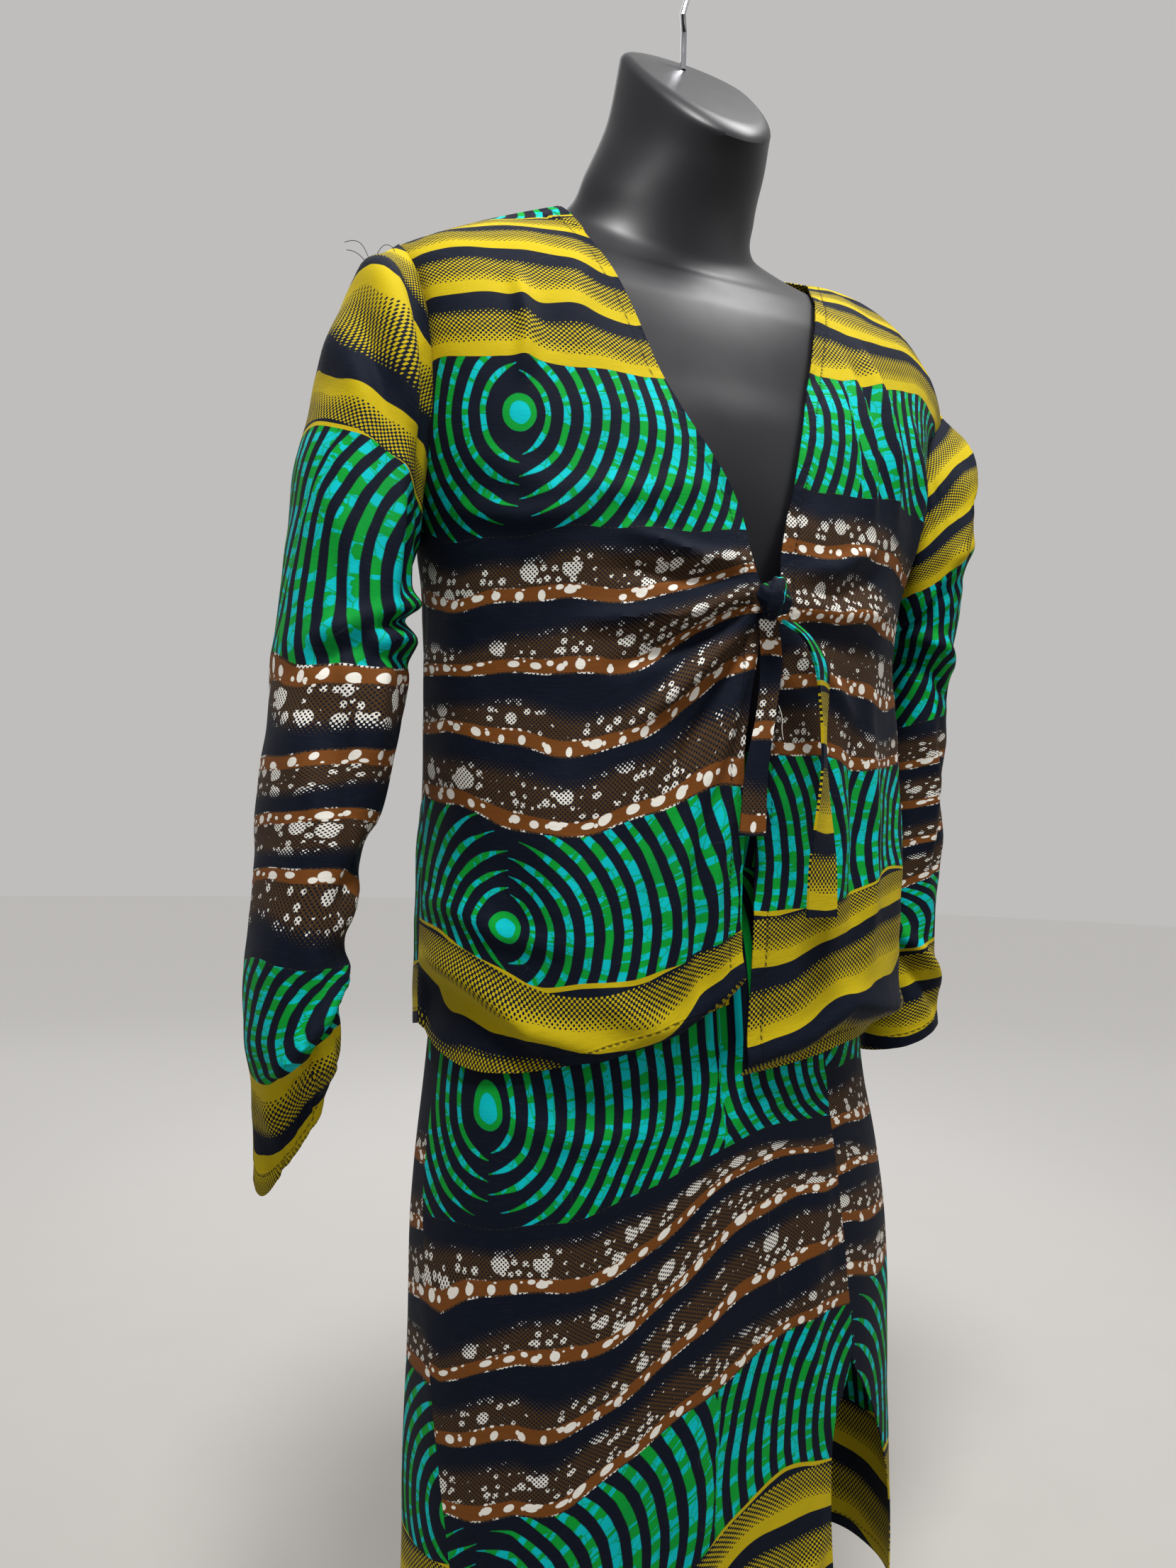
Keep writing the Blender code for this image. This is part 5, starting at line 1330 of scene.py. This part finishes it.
# thread ends: which finish, where one starts (x, height below the neck), then its steps from there
threadPlan = {
    "across": 0.00045, "forward": (-0.2, 0.02), "twist": 5000.0, "twistLightAndShade": (90, 90, 90),
    "finishes": {"pale": ("paleThread", (220, 216, 208)), "dark": ("darkThread", (24, 24, 34))},
    "sleeveThreads": (
        ("pale", -0.272, -0.308, ((0, 0.0005, 0), (0.002, -0.001, -0.003), (0.003, -0.0012, -0.007),
                                  (0.0025, 0, -0.010))),
        ("dark", -0.236, -0.060, ((0, 0, -0.002), (-0.004, -0.002, 0.006), (-0.011, -0.003, 0.009),
                                  (-0.017, -0.002, 0.006))),
        ("dark", -0.230, -0.058, ((0, 0, -0.002), (0.003, -0.003, 0.008), (0.010, -0.003, 0.010),
                                  (0.014, -0.002, 0.005), (0.010, -0.001, 0.003))),
        ("dark", -0.244, -0.066, ((0, 0, -0.002), (-0.006, -0.002, 0.004), (-0.013, -0.001, 0.003))),
        ("dark", -0.262, -0.560, ((0, 0, 0), (-0.002, -0.002, -0.008), (0.001, -0.003, -0.015),
                                  (0.004, -0.002, -0.020)))),
    "tieThread": ((0.0040, -0.1330, -0.345), (0.0065, -0.1345, -0.352), (0.0050, -0.1350, -0.360),
                  (0.0072, -0.1345, -0.366))}


def threadFinish(plan, name, tone):
    finish = Finish(name, Roughness=0.8)
    x, y, z = finish.place()
    # painted highlight and shade of the twisted plies: a grey stripe darkens pale thread and lightens dark
    # thread
    twist = ((x + y + z) * plan["twist"]).sine().rises(-0.8, 0.8)
    finish.set(Base_Color=finish.mix(twist * 0.4, tone, plan["twistLightAndShade"]))
    return finish.material


def makeThreads(plan, sleeve):           # thread ends that were not cut off
    front = sleeve.reshape(-1, 3)
    behind, share = plan["forward"]
    runs = []
    for kind, x, z, bends in plan["sleeveThreads"]:
        away = np.hypot(front[:, 0] - x, front[:, 2] - z) + np.maximum(front[:, 1], behind) * share
        runs.append((kind, front[away.argmin()] + np.array(bends)))
    runs.append(("pale", np.array(plan["tieThread"])))
    for kind, (name, tone) in plan["finishes"].items():
        data = bpy.data.curves.new(kind + "Threads", "CURVE")
        data.dimensions, data.bevel_depth, data.bevel_resolution = "3D", plan["across"] / 2, 1
        for run in (points for which, points in runs if which == kind):
            line = data.splines.new("NURBS")
            line.points.add(len(run) - 1)
            for point, place in zip(line.points, run):
                point.co = (*(place + np.array((0, 0, neckLevel))), 1)
            line.order_u, line.use_endpoint_u, line.resolution_u = 3, True, 6
        data.use_fill_caps = True
        threads = placed(kind + "Threads", data)
        pickOnly(threads)
        bpy.ops.object.convert(target="MESH")
        threads.data.materials.append(threadFinish(plan, name, tone))
        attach(threads, "root")


# floor, light

studioPlan = {
    # the floor's near tones are painted shade round the dress and its far tone is painted light toward the
    # horizon; the grain between the near tones is the paper's own
    "floor": {"radius": 9.0, "level": -1.30, "grainScale": 8.0, "near": ((170, 167, 162), (175, 172, 167)),
              "far": (250, 248, 246), "away": (0.2, 3.0)},
    "sky": (0.84, 0.83, 0.82, 1), "skyStrength": 0.62, "spotAngle": 52, "spotBlend": 1.0,
    # place, aim, size, power, kind
    "lights": (((-0.50, -0.95, 1.25), (-0.05, -0.10, -0.25), 0.25, 250, "SPOT"),
               ((0.50, -0.10, 0.75), (0, -0.10, -0.5), 0.4, 9, "AREA"),
               ((1.9, -1.4, 0.6), (0, 0, -0.5), 1.6, 5, "AREA"),
               ((0.2, 1.8, 1.0), (0, 0, -0.5), 1.6, 11, "AREA")),
}


def makeFloor(plan):
    bpy.ops.object.select_all(action="DESELECT")
    bpy.ops.mesh.primitive_circle_add(vertices=96, radius=plan["radius"], fill_type="NGON",
                                      location=(0, 0, plan["level"]))
    floor = bpy.context.active_object
    floor.name = "floor"
    paper = Finish("floorPaper", Roughness=0.9)
    x, y, z = paper.place()
    grain = paper.blotches(paper.vector(x, y), plan["grainScale"], 3.0)
    # painted light and shade: the floor turns from the darker near tones to the pale far tone with distance
    # from the middle
    away = (x * x + y * y).root().rises(*plan["away"])
    paper.set(Base_Color=paper.mix(away, paper.mix(grain, *plan["near"]), plan["far"]))
    floor.data.materials.append(paper.material)


def makeStudio(plan):
    makeFloor(plan["floor"])
    world = bpy.data.worlds.new("studio")
    world.use_nodes = True
    background = world.node_tree.nodes["Background"].inputs
    background["Color"].default_value = plan["sky"]
    background["Strength"].default_value = plan["skyStrength"]
    bpy.context.scene.world = world
    for place, aim, size, power, kind in plan["lights"]:
        data = bpy.data.lights.new("softBox", kind)
        data.energy = power
        if kind == "AREA":
            data.size, data.shape = size, "SQUARE"
        else:
            data.shadow_soft_size = size
            data.spot_size, data.spot_blend = math.radians(plan["spotAngle"]), plan["spotBlend"]
        turn = (Vector(aim) - Vector(place)).to_track_quat("-Z", "Y").to_matrix()
        aimed(placed("softBox", data), place, turn)


hardPlan = {
    # rough: share of the mottle, least; flatRough and flatTone: what shows where the mottle can't
    "plastic": {"tone": (0.007, 0.007, 0.009, 1), "shine": 0.25, "mottleScale": 40.0, "rough": (0.12, 0.34),
                "flatRough": 0.42},
    "chrome": {"tones": ((190, 190, 194), (150, 150, 156)), "wearScale": 260.0, "rough": (0.16, 0.06),
               "flatTone": (0.46, 0.46, 0.48, 1), "flatRough": 0.12},
}


def plasticFinish(plan):
    plastic = Finish("blackPlastic", Base_Color=plan["tone"], Roughness=plan["flatRough"],
                     Specular_IOR_Level=plan["shine"])
    mottle = plastic.blotches(plastic.vector(*plastic.place()), plan["mottleScale"], 3.0)
    share, least = plan["rough"]
    plastic.set(Roughness=mottle * share + least)
    return plastic.material


def chromeFinish(plan):
    chrome = Finish("chrome", Base_Color=plan["flatTone"], Roughness=plan["flatRough"], Metallic=1.0)
    wear = chrome.blotches(chrome.vector(*chrome.place()), plan["wearScale"], 3.0)
    share, least = plan["rough"]
    chrome.set(Roughness=wear * share + least, Base_Color=chrome.mix(wear, *plan["tones"]))
    return chrome.material


plastic, chrome = plasticFinish(hardPlan["plastic"]), chromeFinish(hardPlan["chrome"])
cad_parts["hanging_hook"].data.materials.clear()
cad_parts["hanging_hook"].data.materials.append(chrome)
makeForm(formPlan, plastic)
makeEyelet(eyeletPlan, chrome)
say("form")
sleeves = makeJacket(cotton)
say("jacket")
makeSkirt(cotton)
say("skirt")
makeTies(tiePlan, cotton)
makeKnot(knotPlan, cotton)
makeThreads(threadPlan, sleeves["right"])
say("ties")
makeStudio(studioPlan)
